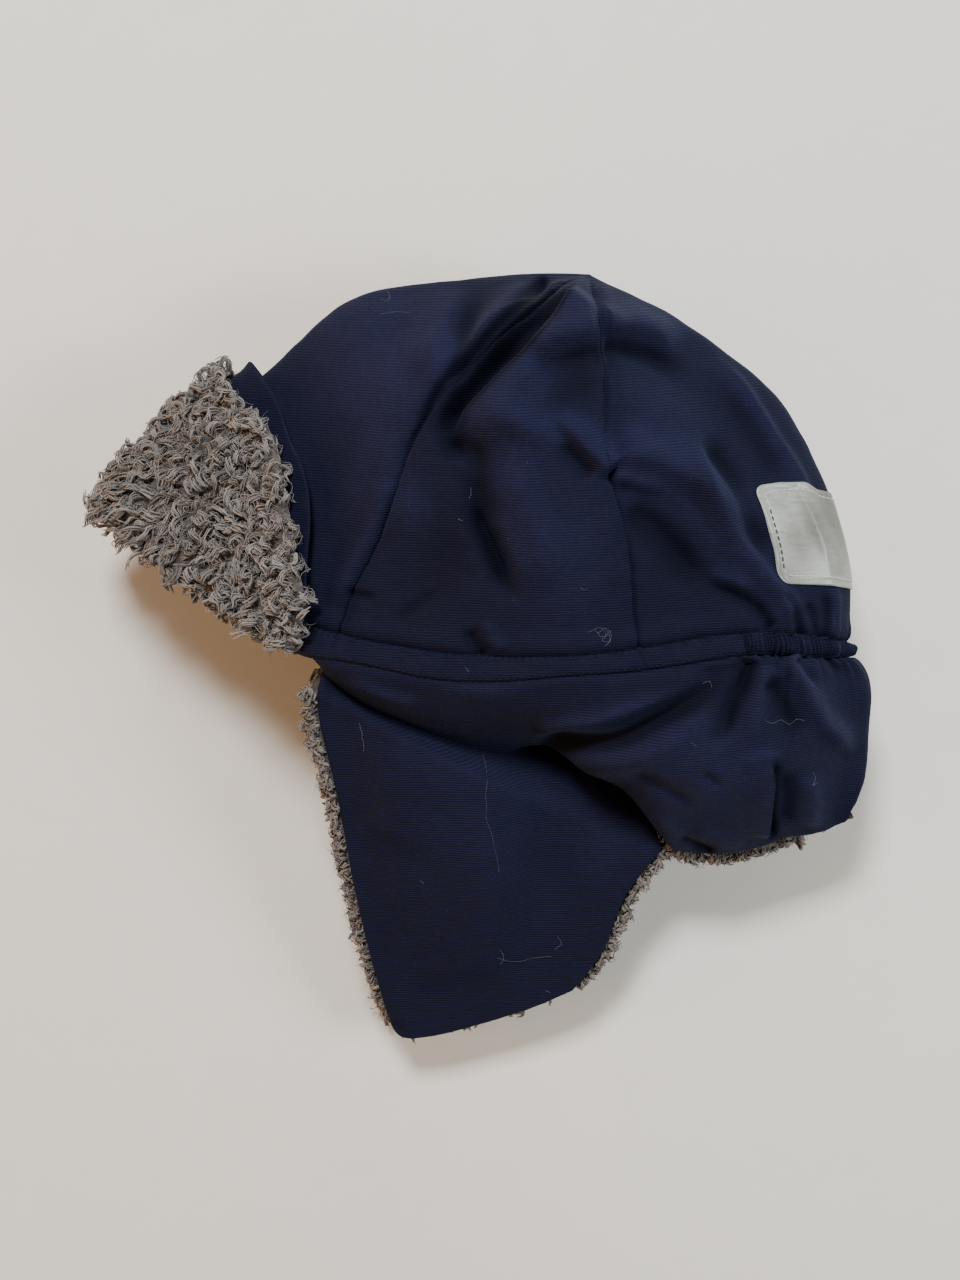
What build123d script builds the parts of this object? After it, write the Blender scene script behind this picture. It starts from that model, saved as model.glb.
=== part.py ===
from build123d import *
import math
import os
import numpy as np

# A trapper hat lying on its right side, half collapsed, left side up.
# +X runs towards the back of the head, +Y towards the top of the crown, +Z up
# from the surface that the hat lies on.  The origin is at the bottom centre of
# the whole hat.  All lengths are millimetres.

os.makedirs("parts", exist_ok=True)

# ---------------------------------------------------------------- driving sizes
SHELL = 1.5            # woven outer shell
LAYER_GAP = 0.3        # air between neighbouring layers and between moving bodies
CASING = 2.4           # folded casing round the head opening, two layers and seam
ELASTIC = 1.2          # elastic in the back of the casing
LINING = 5.5           # pile lining, backing and pile
LINING_IN = 2.9        # how far the lining starts inside the outer surface
VISOR_LIFT = 1.5       # clearance between the crown and the turned-up visor
VISOR_PILE = 9.0       # long pile facing of the visor
PATCH = 0.6            # reflective patch
THREAD = 0.4           # thread thickness of the stitches
STITCH_LEN = 1.9       # visible length of one stitch on the patch
STITCH_PITCH = 2.6     # pitch of the patch's running stitch
STITCH_LIFT = 0.28     # the stitches ride this far above the patch's facets
STITCH_INSET = 2.5     # distance from the patch's edge to its stitch line
FLAP_LINING_PROUD = 3.5  # pile lining showing past the front edge of an ear flap
LINING_SHORT = 0.35     # share of a row by which the skirt's lining stops before a fold
NECK_LINING_PROUD = 2.0  # pile lining showing past the lower edge of the neck flap

# Meridians of the crown from the casing's upper stitch line (first point) to the
# apex (last point), as seen from above: the centre-front fold, the brow, the
# front seam, the side, the rear seam, the back of the side and the back fold.
S_MER = [0.0, 0.163, 0.334, 0.513, 0.716, 0.869, 1.0]
MERIDIANS = [
    [(-131.6, 52.6), (-114.8, 73.2), (-96.3, 90.1), (-78.7, 102.3), (-64.8, 114.5), (-50.6, 125.1), (-32.5, 132.2), (-14.4, 135.2), (7.2, 137.2), (24.1, 138.3), (39.6, 138.3)],
    [(-94.9, 25.7), (-78.7, 53.2), (-57.0, 82.3), (-29.0, 105.3), (0.0, 121.6), (21.2, 131.6), (39.6, 138.3)],
    [(-50.8, 7.9), (-46.2, 22.3), (-38.7, 36.3), (-30.3, 57.1), (-23.0, 77.0), (-10.2, 95.6), (6.8, 113.6), (23.1, 127.6), (39.6, 138.3)],
    [(-1.7, 0.0), (-0.7, 26.2), (2.7, 53.0), (8.7, 76.4), (16.9, 97.0), (27.6, 118.1), (39.6, 138.3)],
    [(54.8, 2.4), (53.1, 14.3), (49.9, 41.9), (44.7, 60.3), (42.7, 71.4), (43.2, 89.9), (42.6, 102.7), (40.8, 118.9), (39.6, 138.3)],
    [(97.0, 7.9), (99.2, 29.9), (93.1, 55.4), (81.7, 79.6), (68.0, 101.1), (53.7, 121.7), (39.6, 138.3)],
    [(133.4, 4.7), (134.1, 25.1), (129.2, 51.3), (119.9, 73.4), (108.5, 91.8), (91.6, 107.2), (73.1, 120.1), (51.2, 131.3), (39.6, 138.3)],
]
# Heights of the upper and the lower side of the crown along those meridians.
V_Z = [0.0, 0.25, 0.5, 0.75, 0.9, 1.0]
Z_UP = [
    [60, 62, 64, 62, 58, 50],
    [62, 67, 72, 72, 64, 50],
    [73, 80, 87, 84, 72, 50],
    [80, 88, 92, 88, 76, 50],
    [82, 90, 93, 88, 74, 50],
    [76, 80, 80, 74, 66, 50],
    [70, 72, 70, 66, 60, 50],
]
Z_DOWN = [
    [24, 22, 20, 22, 32, 50],
    [15, 15, 14, 16, 28, 50],
    [8, 6, 3, 6, 20, 50],
    [0.6, 0, 0, 4, 18, 50],
    [0.6, 0, 0, 4, 18, 50],
    [0.6, 0, 0, 6, 20, 50],
    [4, 4, 4, 12, 24, 50],
]
Z_FOLD_FRONT = 40.0    # height of the centre-front fold at the casing
Z_FOLD_BACK = 42.0     # height of the back fold at the casing
Z_APEX = 50.0
Z_CASING = 0.5         # the casing's stitching keeps it this far off the surface
REST_FLAT = 1.12       # how far the lower side is pressed flat by its own weight

# Lower seam of the casing, by share of the way from front fold to back fold.
S_CASING = [0.0, 0.163, 0.32, 0.395, 0.45, 0.513, 0.62, 0.73, 0.79, 0.85, 0.92, 1.0]
CASING_LOW = [(-134.5, 48.9), (-97.9, 21.1), (-60.0, 0.4), (-43.0, -2.2), (-27.0, -5.6), (-6.5, -8.3), (27.4, -6.5), (57.5, -4.1), (77.1, -1.1), (93.7, 1.0), (113.0, 0.4), (134.0, -0.4)]

S_TEMPLE = 0.32        # where the skirt starts, at the temple
S_NOTCH = 0.74         # where the ear flap's back edge meets the neck flap
CREASE_A = (-55.0, -5.0, 66.0)    # upper ear flap's fold line, at the temple
CREASE_B = (68.4, -68.0, 40.0)    # and at the notch
Z_LOW_SIDE = 0.0       # the lower ear flap lies on the surface
NECK_LOW = [(68.4, -68.0), (80.0, -69.6), (92.7, -71.1), (104.3, -68.9), (117.4, -66.3), (128.9, -62.3), (136.9, -55.1)]
NECK_BACK = [(134.0, -0.4), (139.6, -4.4), (141.9, -12.5), (141.8, -21.7), (140.5, -45.2), (136.9, -55.1)]
Z_NECK_LOW = 52.0      # upper side of the neck flap at its lower edge
Z_NECK_FOLD = 39.0     # height of the back fold of the neck flap

EAR_FRONT = [(-55.0, -5.0), (-56.5, -11.6), (-53.7, -36.2), (-49.0, -64.4), (-45.0, -91.1), (-39.6, -116.1), (-33.8, -138.6)]
EAR_LOW = [(-33.8, -138.6), (-29.6, -143.0), (-23.7, -143.6), (-7.9, -140.4), (8.6, -135.6), (24.0, -130.0), (34.7, -125.0)]
EAR_BACK = [(68.4, -68.0), (60.9, -77.5), (53.9, -87.5), (45.4, -109.5), (34.7, -125.0)]
Z_EAR_TIP = 25.0       # upper ear flap's outer face at its tip
Z_EAR_HEEL = 27.0      # and at the rear end of its lower edge

# free edge of the turned-up visor, from the centre-front fold to the temple
VISOR_EDGE = [(-86.0, 108.0), (-79.0, 102.3), (-71.6, 92.6), (-64.3, 78.4), (-60.0, 66.0), (-57.6, 58.0), (-56.2, 45.8), (-56.0, 34.2), (-57.0, 22.5), (-57.6, 14.0)]
S_VISOR = 0.30         # the visor's corner at the temple
VISOR_PIVOT = (-58.6, 5.8)

S_PATCH = 0.885        # the patch's ends on the two sides
V_PATCH = (0.12, 0.32)  # and its lower and upper edge


# ---------------------------------------------------------------- curve helpers
def natural(xs, ys, q):
    """Natural cubic spline through ys at xs, read at q."""
    xs, ys, q = np.asarray(xs, float), np.asarray(ys, float), np.asarray(q, float)
    n = len(xs)
    flat = ys.reshape(n, -1)
    h = np.diff(xs)
    a = np.zeros((n, n))
    r = np.zeros_like(flat)
    a[0, 0] = a[-1, -1] = 1.0
    for i in range(1, n - 1):
        a[i, i - 1], a[i, i], a[i, i + 1] = h[i - 1], 2 * (h[i - 1] + h[i]), h[i]
        r[i] = 6 * ((flat[i + 1] - flat[i]) / h[i] - (flat[i] - flat[i - 1]) / h[i - 1])
    m = np.linalg.solve(a, r)
    k = np.clip(np.searchsorted(xs, q, side="right") - 1, 0, n - 2)
    t = q - xs[k]
    hk = h[k]
    t, hk = t[..., None], hk[..., None]
    p = (flat[k] + t * ((flat[k + 1] - flat[k]) / hk - hk * (2 * m[k] + m[k + 1]) / 6)
         + t ** 2 * m[k] / 2 + t ** 3 * (m[k + 1] - m[k]) / (6 * hk))
    return p.reshape(q.shape + ys.shape[1:])


def along(poly, f):
    """Point at a fraction f of the length of a polyline."""
    p = np.asarray(poly, float)
    d = np.r_[0, np.cumsum(np.linalg.norm(np.diff(p, axis=0), axis=1))]
    d /= d[-1]
    return np.stack([np.interp(f, d, p[:, i]) for i in range(p.shape[1])], -1)


def lerp(a, b, t):
    return a + (b - a) * t


# ---------------------------------------------------------------- the head shape
# theta runs once round the hat: 0 at the centre-front fold, pi/2 on the upper
# (left) side, pi at the back fold, 3 pi/2 on the lower (right) side.
def share(theta):
    return (1 - np.cos(theta)) / 2


def section(theta, centre, up, down):
    s = np.sin(theta)
    flat = np.maximum(centre - (centre - down) * REST_FLAT * np.abs(s) ** 0.7, down)
    return np.where(s >= 0, centre + (up - centre) * np.abs(s) ** 0.8, flat)


def crown(theta, v):
    """Outer surface of the crown; v is 0 at the casing's stitch line, 1 at the apex,
    and from 0 to -1 down the casing."""
    s = share(theta)
    vv = max(v, 0.0)
    mer = np.array([along(m, vv) for m in MERIDIANS])
    xy = natural(S_MER, mer, s)
    up = natural(S_MER, [float(natural(V_Z, z, vv)) for z in Z_UP], s)
    down = natural(S_MER, [float(natural(V_Z, z, vv)) for z in Z_DOWN], s)
    down = np.where(down < 1.0, 0.0, down)
    centre = lerp(lerp(Z_FOLD_FRONT, Z_FOLD_BACK, s), Z_APEX, vv ** 1.3)
    z = section(theta, centre, np.maximum(up, centre), np.minimum(down, centre))
    if v <= 0:
        z = np.maximum(z, Z_CASING)
    if v < 0:
        low = natural(S_CASING, CASING_LOW, s)
        xy = lerp(xy, low, -v)
    return np.concatenate([xy, z[:, None]], 1)


def casing_z(theta):
    return crown(theta, 0.0)[:, 2]


NECK_S = np.linspace(S_NOTCH, 1.0, 8)


def skirt(theta, w):
    """Outer surface of the skirt below the casing; w is 0 at the casing and 1 at the
    ear flaps' fold lines and the neck flap's lower edge."""
    s = share(theta)
    up_side = np.sin(theta) >= 0
    top = natural(S_CASING, CASING_LOW, s)
    a, b = np.array(CREASE_A), np.array(CREASE_B)
    t = np.clip((s - S_TEMPLE) / (S_NOTCH - S_TEMPLE), 0, 1)
    low = a[None, :2] + (b - a)[None, :2] * t[:, None]
    neck = along(NECK_LOW, np.clip((s - S_NOTCH) / (1 - S_NOTCH), 0, 1))
    low = np.where((s > S_NOTCH)[:, None], neck, low)
    xy = lerp(top, low, w)
    back = along(NECK_BACK, w)
    pull = np.clip((s - 0.86) / 0.14, 0, 1) ** 2
    pull = pull * pull * (3 - 2 * pull)
    straight = lerp(np.array(CASING_LOW[-1]), np.array(NECK_LOW[-1]), w)
    xy = xy + pull[:, None] * (back - straight)[None, :]
    z0 = casing_z(theta)
    centre = lerp(Z_FOLD_BACK, Z_NECK_FOLD, w)
    crease_z = a[2] + (b[2] - a[2]) * t
    edge_up = np.where(s > S_NOTCH, lerp(b[2], Z_NECK_LOW, np.clip((s - S_NOTCH) * 8, 0, 1)), crease_z)
    k = np.clip((s - 0.80) / 0.20, 0, 1)
    fade = np.where(s > 0.80, np.abs(np.sin(theta)) ** 0.8 / np.abs(np.sin(np.arccos(1 - 2 * 0.80))) ** 0.8, 1.0)
    fade = np.clip(fade, 0, 1)
    zu1 = np.where(k > 0, Z_NECK_FOLD + (edge_up - Z_NECK_FOLD) * fade, edge_up)
    zd1 = np.where(k > 0, Z_NECK_FOLD - (Z_NECK_FOLD - Z_LOW_SIDE) * fade ** 0.85, Z_LOW_SIDE)
    z1 = np.where(up_side, zu1, zd1)
    ww = w if w <= 0 else w ** 1.0
    z = lerp(z0, z1, ww)
    z = np.where(up_side | (k > 0.3), z, lerp(z0, z1, min(1.0, w * 1.8)))
    return np.concatenate([xy, z[:, None]], 1)


def normals(grid, closed_u):
    """Unit normals of a grid of points [row, column], pointing out of the hat."""
    du = np.empty_like(grid)
    if closed_u:
        du = np.roll(grid, -1, 1) - np.roll(grid, 1, 1)
    else:
        du[:, 1:-1] = grid[:, 2:] - grid[:, :-2]
        du[:, 0], du[:, -1] = grid[:, 1] - grid[:, 0], grid[:, -1] - grid[:, -2]
    dv = np.empty_like(grid)
    dv[1:-1] = grid[2:] - grid[:-2]
    dv[0], dv[-1] = grid[1] - grid[0], grid[-1] - grid[-2]
    n = np.cross(dv, du)
    length = np.linalg.norm(n, axis=2, keepdims=True)
    return n / np.maximum(length, 1e-9)


# ---------------------------------------------------------------- solids
ORIGIN = np.array([0.35, 3.1, 0.0])   # brings the hat's middle over the origin


def tri(a, b, c):
    if min(np.linalg.norm(a - b), np.linalg.norm(b - c), np.linalg.norm(c - a)) < 1e-4:
        return None
    if np.linalg.norm(np.cross(b - a, c - a)) < 1e-4:
        return None
    return Face(Wire.make_polygon([Vector(*map(float, p)) for p in (a, b, c)], close=True))


def slab(outer, inner):
    """A closed solid between two grids of points of the same size."""
    m, n = outer.shape[:2]
    outer, inner = outer + ORIGIN, inner + ORIGIN
    faces = []

    def quad(p, q, r, s):
        for t in (tri(p, q, r), tri(p, r, s)):
            if t is not None:
                faces.append(t)

    for i in range(m - 1):
        for j in range(n - 1):
            quad(outer[i, j], outer[i, j + 1], outer[i + 1, j + 1], outer[i + 1, j])
            quad(inner[i, j], inner[i + 1, j], inner[i + 1, j + 1], inner[i, j + 1])
    for j in range(n - 1):
        quad(outer[0, j + 1], outer[0, j], inner[0, j], inner[0, j + 1])
        quad(outer[-1, j], outer[-1, j + 1], inner[-1, j + 1], inner[-1, j])
    for i in range(m - 1):
        quad(outer[i, 0], outer[i + 1, 0], inner[i + 1, 0], inner[i, 0])
        quad(outer[i + 1, -1], outer[i, -1], inner[i, -1], inner[i + 1, -1])
    solid = Solid(Shell(faces))
    if solid.volume < 0:
        solid = Solid(Shell([-f for f in faces]))
    return solid


def write(name, *solids):
    solids = list(solids)
    shape = solids[0] if len(solids) == 1 else Compound(children=solids)
    shape.label = name
    export_step(shape, f"parts/{name}.step")
    vol = sum(s.volume for s in solids)
    ok = all(s.is_valid for s in solids)
    print(f"{name:28s} {len(solids):4d} solid(s) {vol:10.1f} mm3 valid {ok}")


# ---------------------------------------------------------------- master grid
# Columns round the hat, with the seams and the patch's ends on columns of their own.
def theta_of(s):
    return math.acos(1 - 2 * s)


TH_A, TH_B = theta_of(0.34), theta_of(0.716)
TH_T, TH_N, TH_P = theta_of(S_TEMPLE), theta_of(S_NOTCH), theta_of(S_PATCH)
TH_E = theta_of(0.85)
marks = [0.0, 0.16, 0.34, 0.56, 0.80, theta_of(S_VISOR), TH_T, TH_A, 1.42, 1.58, 1.76, 1.92, TH_B, TH_N, 2.18, TH_E, TH_P, 2.62, 2.80, 2.98, math.pi]
marks = sorted(set(round(x, 6) for x in marks))
theta_up = np.array(marks)
theta = np.concatenate([theta_up, (2 * math.pi - theta_up[::-1])[1:-1]])
NU = len(theta)


def col(th):
    return int(np.argmin(np.abs(theta - th)))


V_ROWS = [-1.0, 0.0, V_PATCH[0], 0.22, V_PATCH[1], 0.45, 0.58, 0.70, 0.80, 0.88, 0.94, 1.0]
crown_grid = np.array([crown(theta, v) for v in V_ROWS])
nrm = -normals(crown_grid, True)
# at the apex all columns meet, so the crown closes on one inward direction
nrm[-1] = np.array([0.15, 0.99, 0.0]) / np.linalg.norm([0.15, 0.99, 0.0])


def crown_at(d, rows=slice(None)):
    return (crown_grid + nrm * d)[rows]


def span(grid, a, b):
    """Columns a to b, going round the hat, both ends included."""
    idx = [(i % NU) for i in range(a, b + 1)]
    return grid[:, idx]


iA, iB, iE, iP = col(TH_A), col(TH_B), col(TH_E), col(TH_P)
jA, jB, jE, jP = col(2 * math.pi - TH_A), col(2 * math.pi - TH_B), col(2 * math.pi - TH_E), col(2 * math.pi - TH_P)
TOP = slice(1, None)    # crown rows
BAND = slice(0, 2)      # casing rows

out, inn = crown_at(0.0), crown_at(-SHELL)
write("crown_front_panel", slab(span(out[TOP], jA - NU, iA), span(inn[TOP], jA - NU, iA)))
write("crown_side_panel_left", slab(span(out[TOP], iA, iB), span(inn[TOP], iA, iB)))
write("crown_back_panel", slab(span(out[TOP], iB, jB), span(inn[TOP], iB, jB)))
write("crown_side_panel_right", slab(span(out[TOP], jB, jA), span(inn[TOP], jB, jA)).clean())

# lining: two halves that meet at the front and back folds
lo, li = crown_at(-LINING_IN - LAYER_GAP), crown_at(-LINING_IN - LAYER_GAP - LINING)
lo[0], li[0] = lerp(lo[1], lo[0], 0.4), lerp(li[1], li[0], 0.4)
keep = list(range(0, len(V_ROWS) - 1))
iBack = col(math.pi)
write("crown_lining_left", slab(span(lo[keep], 0, iBack), span(li[keep], 0, iBack)))
write("crown_lining_right", slab(span(lo[keep], iBack, NU), span(li[keep], iBack, NU)))

# casing round the head opening: plain at the sides, gathered over the elastic behind
cb_out, cb_in = crown_at(0.0, BAND), crown_at(-CASING, BAND)
write("casing_left", slab(span(cb_out, 0, iE), span(cb_in, 0, iE)))
write("casing_right", slab(span(cb_out, jE, NU), span(cb_in, jE, NU)))
write("casing_gathered_back", slab(span(cb_out, iE, jE), span(crown_at(-1.0, BAND), iE, jE)))
e_o, e_i = crown_at(-1.25, BAND), crown_at(-1.25 - ELASTIC, BAND)
e_o2 = np.array([lerp(e_o[0], e_o[1], 0.12), lerp(e_o[0], e_o[1], 0.88)])
e_i2 = np.array([lerp(e_i[0], e_i[1], 0.12), lerp(e_i[0], e_i[1], 0.88)])
write("back_elastic", slab(span(e_o2, iE, jE), span(e_i2, iE, jE)))

# topstitching of the casing: one thread line near each edge, per side
thread = []
for f in (0.10, 0.90):
    base = lerp(crown_grid[0], crown_grid[1], f)
    base2 = lerp(crown_grid[0], crown_grid[1], f + 0.06)
    n0 = lerp(nrm[0], nrm[1], f)
    for a, b in ((0, iE), (jE, NU)):
        g = np.array([base + n0 * 0.45, base2 + n0 * 0.45])
        h = np.array([base + n0 * 0.05, base2 + n0 * 0.05])
        thread.append(slab(span(g, a, b), span(h, a, b)))
write("casing_topstitching", *thread)

# ---------------------------------------------------------------- skirt
W_ROWS = [0.0, 0.25, 0.5, 0.75, 1.0]
iT, iN = col(TH_T), col(TH_N)
jT, jN = col(2 * math.pi - TH_T), col(2 * math.pi - TH_N)
sk_cols = list(range(iT, jT + 1))
sk = np.array([skirt(theta[sk_cols], w) for w in W_ROWS])
skn = normals(sk, False)
skn[0] = nrm[0][sk_cols]
# along the ear flaps' fold lines the cut edges stand upright
skn[-1, :iN - iT + 1] = [0.0, 0.0, 1.0]
skn[-1, jN - iT:] = [0.0, 0.0, -1.0]
sk_in = sk - skn * SHELL
# the lowest edge of the shell's inside stays level with the surface below it
write("skirt_shell", slab(sk, sk_in))
cols_n = (iN - iT, jN - iT)
sl_o = sk - skn * (LINING_IN + LAYER_GAP)
sl_i = sk - skn * (LINING_IN + LAYER_GAP + LINING)
drop = (sk[-1] - sk[-2])
drop = drop / np.linalg.norm(drop, axis=1, keepdims=True) * NECK_LINING_PROUD
hem = np.zeros((drop.shape[0], 1))
hem[cols_n[0] + 1: cols_n[1]] = 1.0
sl_o[-1] += drop * hem
sl_i[-1] += drop * hem
sl_o[0] = lerp(sl_o[0], sl_o[1], 0.35)
sl_i[0] = lerp(sl_i[0], sl_i[1], 0.35)
# the lining stops short of the fold lines, so that the flaps' own lining can turn
back_off = np.ones((drop.shape[0], 1)) - hem
sl_o[-1] = lerp(sl_o[-1], sl_o[-2], back_off * LINING_SHORT)
sl_i[-1] = lerp(sl_i[-1], sl_i[-2], back_off * LINING_SHORT)
write("skirt_lining", slab(sl_o[:, 1:-1], sl_i[:, 1:-1]))


# ---------------------------------------------------------------- ear flaps
def coons(front, back, low, nu, nv, za, zb, ztip, zheel, proud=0.0, low_proud=0.0):
    """Ear flap as a grid: row 0 on the fold line, last row on the lower edge;
    column 0 on the front edge, last column on the back edge."""
    us, vs = np.linspace(0, 1, nu), np.linspace(0, 1, nv)
    a, b = np.array(front[0], float), np.array(back[0], float)
    f, k, l = along(front, vs), along(back, vs), along(low, us)
    g = np.zeros((nv, nu, 3))
    for i, v in enumerate(vs):
        for j, u in enumerate(us):
            c = lerp(a, b, u)
            p = (lerp(c, l[j], v) + lerp(f[i], k[i], u)
                 - (lerp(lerp(a, b, u), lerp(l[0], l[-1], u), v)))
            g[i, j, :2] = p
            zc = lerp(za, zb, u)
            zl = lerp(ztip, zheel, u)
            g[i, j, 2] = lerp(zc, zl, v ** 0.9)
    if proud:
        d = g[:, 0] - g[:, 1]
        d /= np.linalg.norm(d, axis=1, keepdims=True)
        g[:, 0] += d * proud * np.clip(vs * 3, 0, 1)[:, None]
    if low_proud:
        d = g[-1] - g[-2]
        d /= np.linalg.norm(d, axis=1, keepdims=True)
        g[-1] += d * low_proud
    return g


def flap(side, proud, low_proud):
    if side == "left":
        return coons(EAR_FRONT, EAR_BACK, EAR_LOW, 8, 8, CREASE_A[2], CREASE_B[2], Z_EAR_TIP, Z_EAR_HEEL, proud, low_proud)
    return coons(EAR_FRONT, EAR_BACK, EAR_LOW, 8, 8, 0, 0, 0, 0, proud, low_proud)


c_dir = np.array(CREASE_B[:2]) - np.array(CREASE_A[:2])
c_dir /= np.linalg.norm(c_dir)
away = np.array([c_dir[1], -c_dir[0], 0.0])   # in plan, from the fold line to the flap
if away[1] > 0:
    away = -away


def flap_layers(side):
    g = flap(side, 0.0, 0.0)
    n = normals(g, False)
    if side == "left":
        n = np.where(n[..., 2:3] < 0, -n, n)
    else:
        n = np.where(n[..., 2:3] > 0, -n, n)
    n[0] = [0.0, 0.0, 1.0] if side == "left" else [0.0, 0.0, -1.0]
    g = g + away * LAYER_GAP
    p = flap(side, FLAP_LINING_PROUD, 0.8) + away * LAYER_GAP
    ov = g - n * SHELL
    lo_, li_ = p - n * (SHELL + 2 * LAYER_GAP), p - n * (SHELL + 2 * LAYER_GAP + LINING)
    # towards the hem the pile thins, so that the tip is a thin double layer
    vs = np.linspace(0, 1, g.shape[0])[:, None, None]
    li_ = lerp(li_, lo_ - n * (LINING * 0.55), vs ** 3)
    # the pile starts clear of the skirt's own lining
    lo_[0] = lerp(lo_[0], lo_[1], 0.14)
    li_[0] = lerp(li_[0], li_[1], 0.14)
    return g, ov, lo_, li_


for side in ("left", "right"):
    g, ov, lo_, li_ = flap_layers(side)
    write(f"ear_flap_{side}_shell", slab(g, ov) if side == "left" else slab(g, ov).clean())
    write(f"ear_flap_{side}_lining", slab(lo_, li_))

# ---------------------------------------------------------------- visor
th_v = theta_of(S_VISOR)
v_cols = np.array([-th_v, -1.02, -0.85, -0.66, -0.46, -0.28, -0.12, 0.0, 0.12, 0.28, 0.46, 0.66, 0.85, 1.02, th_v])
w_rows = np.array([0.0, 0.2, 0.4, 0.6, 0.8, 1.0])


def free_edge_v(t):
    """How far up the crown the visor's free edge lies, on the column at t."""
    vs = np.linspace(0.0, 0.6, 121)
    track = np.array([crown(np.array([t]), v)[0, :2] for v in vs])
    edge = along(VISOR_EDGE, np.linspace(0, 1, 300))
    gap = np.linalg.norm(track[:, None, :] - edge[None, :, :], axis=2).min(1)
    return float(vs[int(np.argmin(gap))])


v_free = [free_edge_v(abs(th)) for th in v_cols]
print("visor edge", [round(x, 3) for x in v_free])


def base_visor(w):
    pts = []
    for th, vf in zip(v_cols, v_free):
        t = th % (2 * math.pi)
        v = lerp(-1.0, 0.0, min(1.0, w / 0.2)) if w < 0.2 else lerp(0.0, vf, (w - 0.2) / 0.8)
        pts.append(crown(np.array([t]), v)[0])
    return np.array(pts)


vg = np.array([base_visor(w) for w in w_rows])
vn = normals(vg, False)
mid = vg.reshape(-1, 3).mean(0)
flip = np.sign(np.sum(vn * (vg - np.array([-70.0, 60.0, 40.0])), axis=2, keepdims=True))
vn = vn * np.where(flip == 0, 1, flip)
s_v = share(v_cols)
fade = np.clip((S_VISOR - s_v) / 0.12, 0, 1)
pile = lerp(3.6, VISOR_PILE, fade * fade * (3 - 2 * fade))
pile = pile[None, :, None] * np.array([0.75, 1.0, 1.0, 1.0, 0.95, 0.7])[:, None, None]
v0 = vg + vn * VISOR_LIFT
v1 = vg + vn * (VISOR_LIFT + SHELL)
v2 = vg + vn * (VISOR_LIFT + SHELL + LAYER_GAP)
v3 = vg + vn * (VISOR_LIFT + SHELL + LAYER_GAP) + vn * pile
write("visor_shell", slab(v1, v0))
write("visor_pile", slab(v3, v2))

# ---------------------------------------------------------------- patch
p_rows = slice(V_ROWS.index(V_PATCH[0]), V_ROWS.index(V_PATCH[1]) + 1)
po, pi_ = crown_at(0.1 + PATCH, p_rows), crown_at(0.1, p_rows)
po, pi_ = span(po, iP, jP), span(pi_, iP, jP)
write("reflective_patch", slab(po, pi_))

# running stitch round the patch, inset from its edge
pn = span(nrm[p_rows], iP, jP)
m_, n_ = po.shape[:2]


def patch_point(a, b):
    """Point and normal at row a, column b of the patch, both as fractions of the grid."""
    i, j = min(int(a), m_ - 2), min(int(b), n_ - 2)
    fa, fb = a - i, b - j
    q = lambda g: lerp(lerp(g[i, j], g[i, j + 1], fb), lerp(g[i + 1, j], g[i + 1, j + 1], fb), fa)
    n = q(pn)
    return q(po), n / np.linalg.norm(n)


row_len = np.linalg.norm(po[-1, 0] - po[0, 0])
da = STITCH_INSET / row_len * (m_ - 1)
col_len = np.r_[0, np.cumsum(np.linalg.norm(np.diff(po[1], axis=0), axis=1))]
cj = lambda mm: float(np.interp(mm, col_len, np.arange(n_)))
W = col_len[-1]
loop = [(da, cj(x)) for x in np.linspace(STITCH_INSET, W - STITCH_INSET, 60)]
loop += [(y, cj(W - STITCH_INSET)) for y in np.linspace(da, m_ - 1 - da, 24)[1:]]
loop += [(m_ - 1 - da, cj(x)) for x in np.linspace(W - STITCH_INSET, STITCH_INSET, 60)[1:]]
loop += [(y, cj(STITCH_INSET)) for y in np.linspace(m_ - 1 - da, da, 24)[1:]]
pts = np.array([patch_point(a, b)[0] for a, b in loop])
nns = np.array([patch_point(a, b)[1] for a, b in loop])
run = np.r_[0, np.cumsum(np.linalg.norm(np.diff(pts, axis=0), axis=1))]
count = int(run[-1] / STITCH_PITCH)
stitches = []
for k in range(count):
    c = (k + 0.5) * run[-1] / count
    at = lambda x: np.array([np.interp(x, run, pts[:, i]) for i in range(3)])
    nn = np.array([np.interp(c, run, nns[:, i]) for i in range(3)])
    nn /= np.linalg.norm(nn)
    p, q = at(c - STITCH_LEN / 2), at(c + STITCH_LEN / 2)
    d = (q - p) / np.linalg.norm(q - p)
    side = np.cross(nn, d)
    side /= np.linalg.norm(side)
    up = np.cross(d, side)
    lo2 = np.array([[p + side * 0.3, q + side * 0.3], [p - side * 0.3, q - side * 0.3]]) + up * STITCH_LIFT
    hi2 = lo2 + up * THREAD
    stitches.append(slab(hi2, lo2))
write("patch_stitching", *stitches)

print("crease direction", c_dir, "pivot", VISOR_PIVOT)
allp = np.concatenate([x.reshape(-1, 3) for x in (crown_grid, sk, vg, v3, sl_i, sl_o)])
print("extent", allp.min(0).round(1), allp.max(0).round(1))
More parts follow.
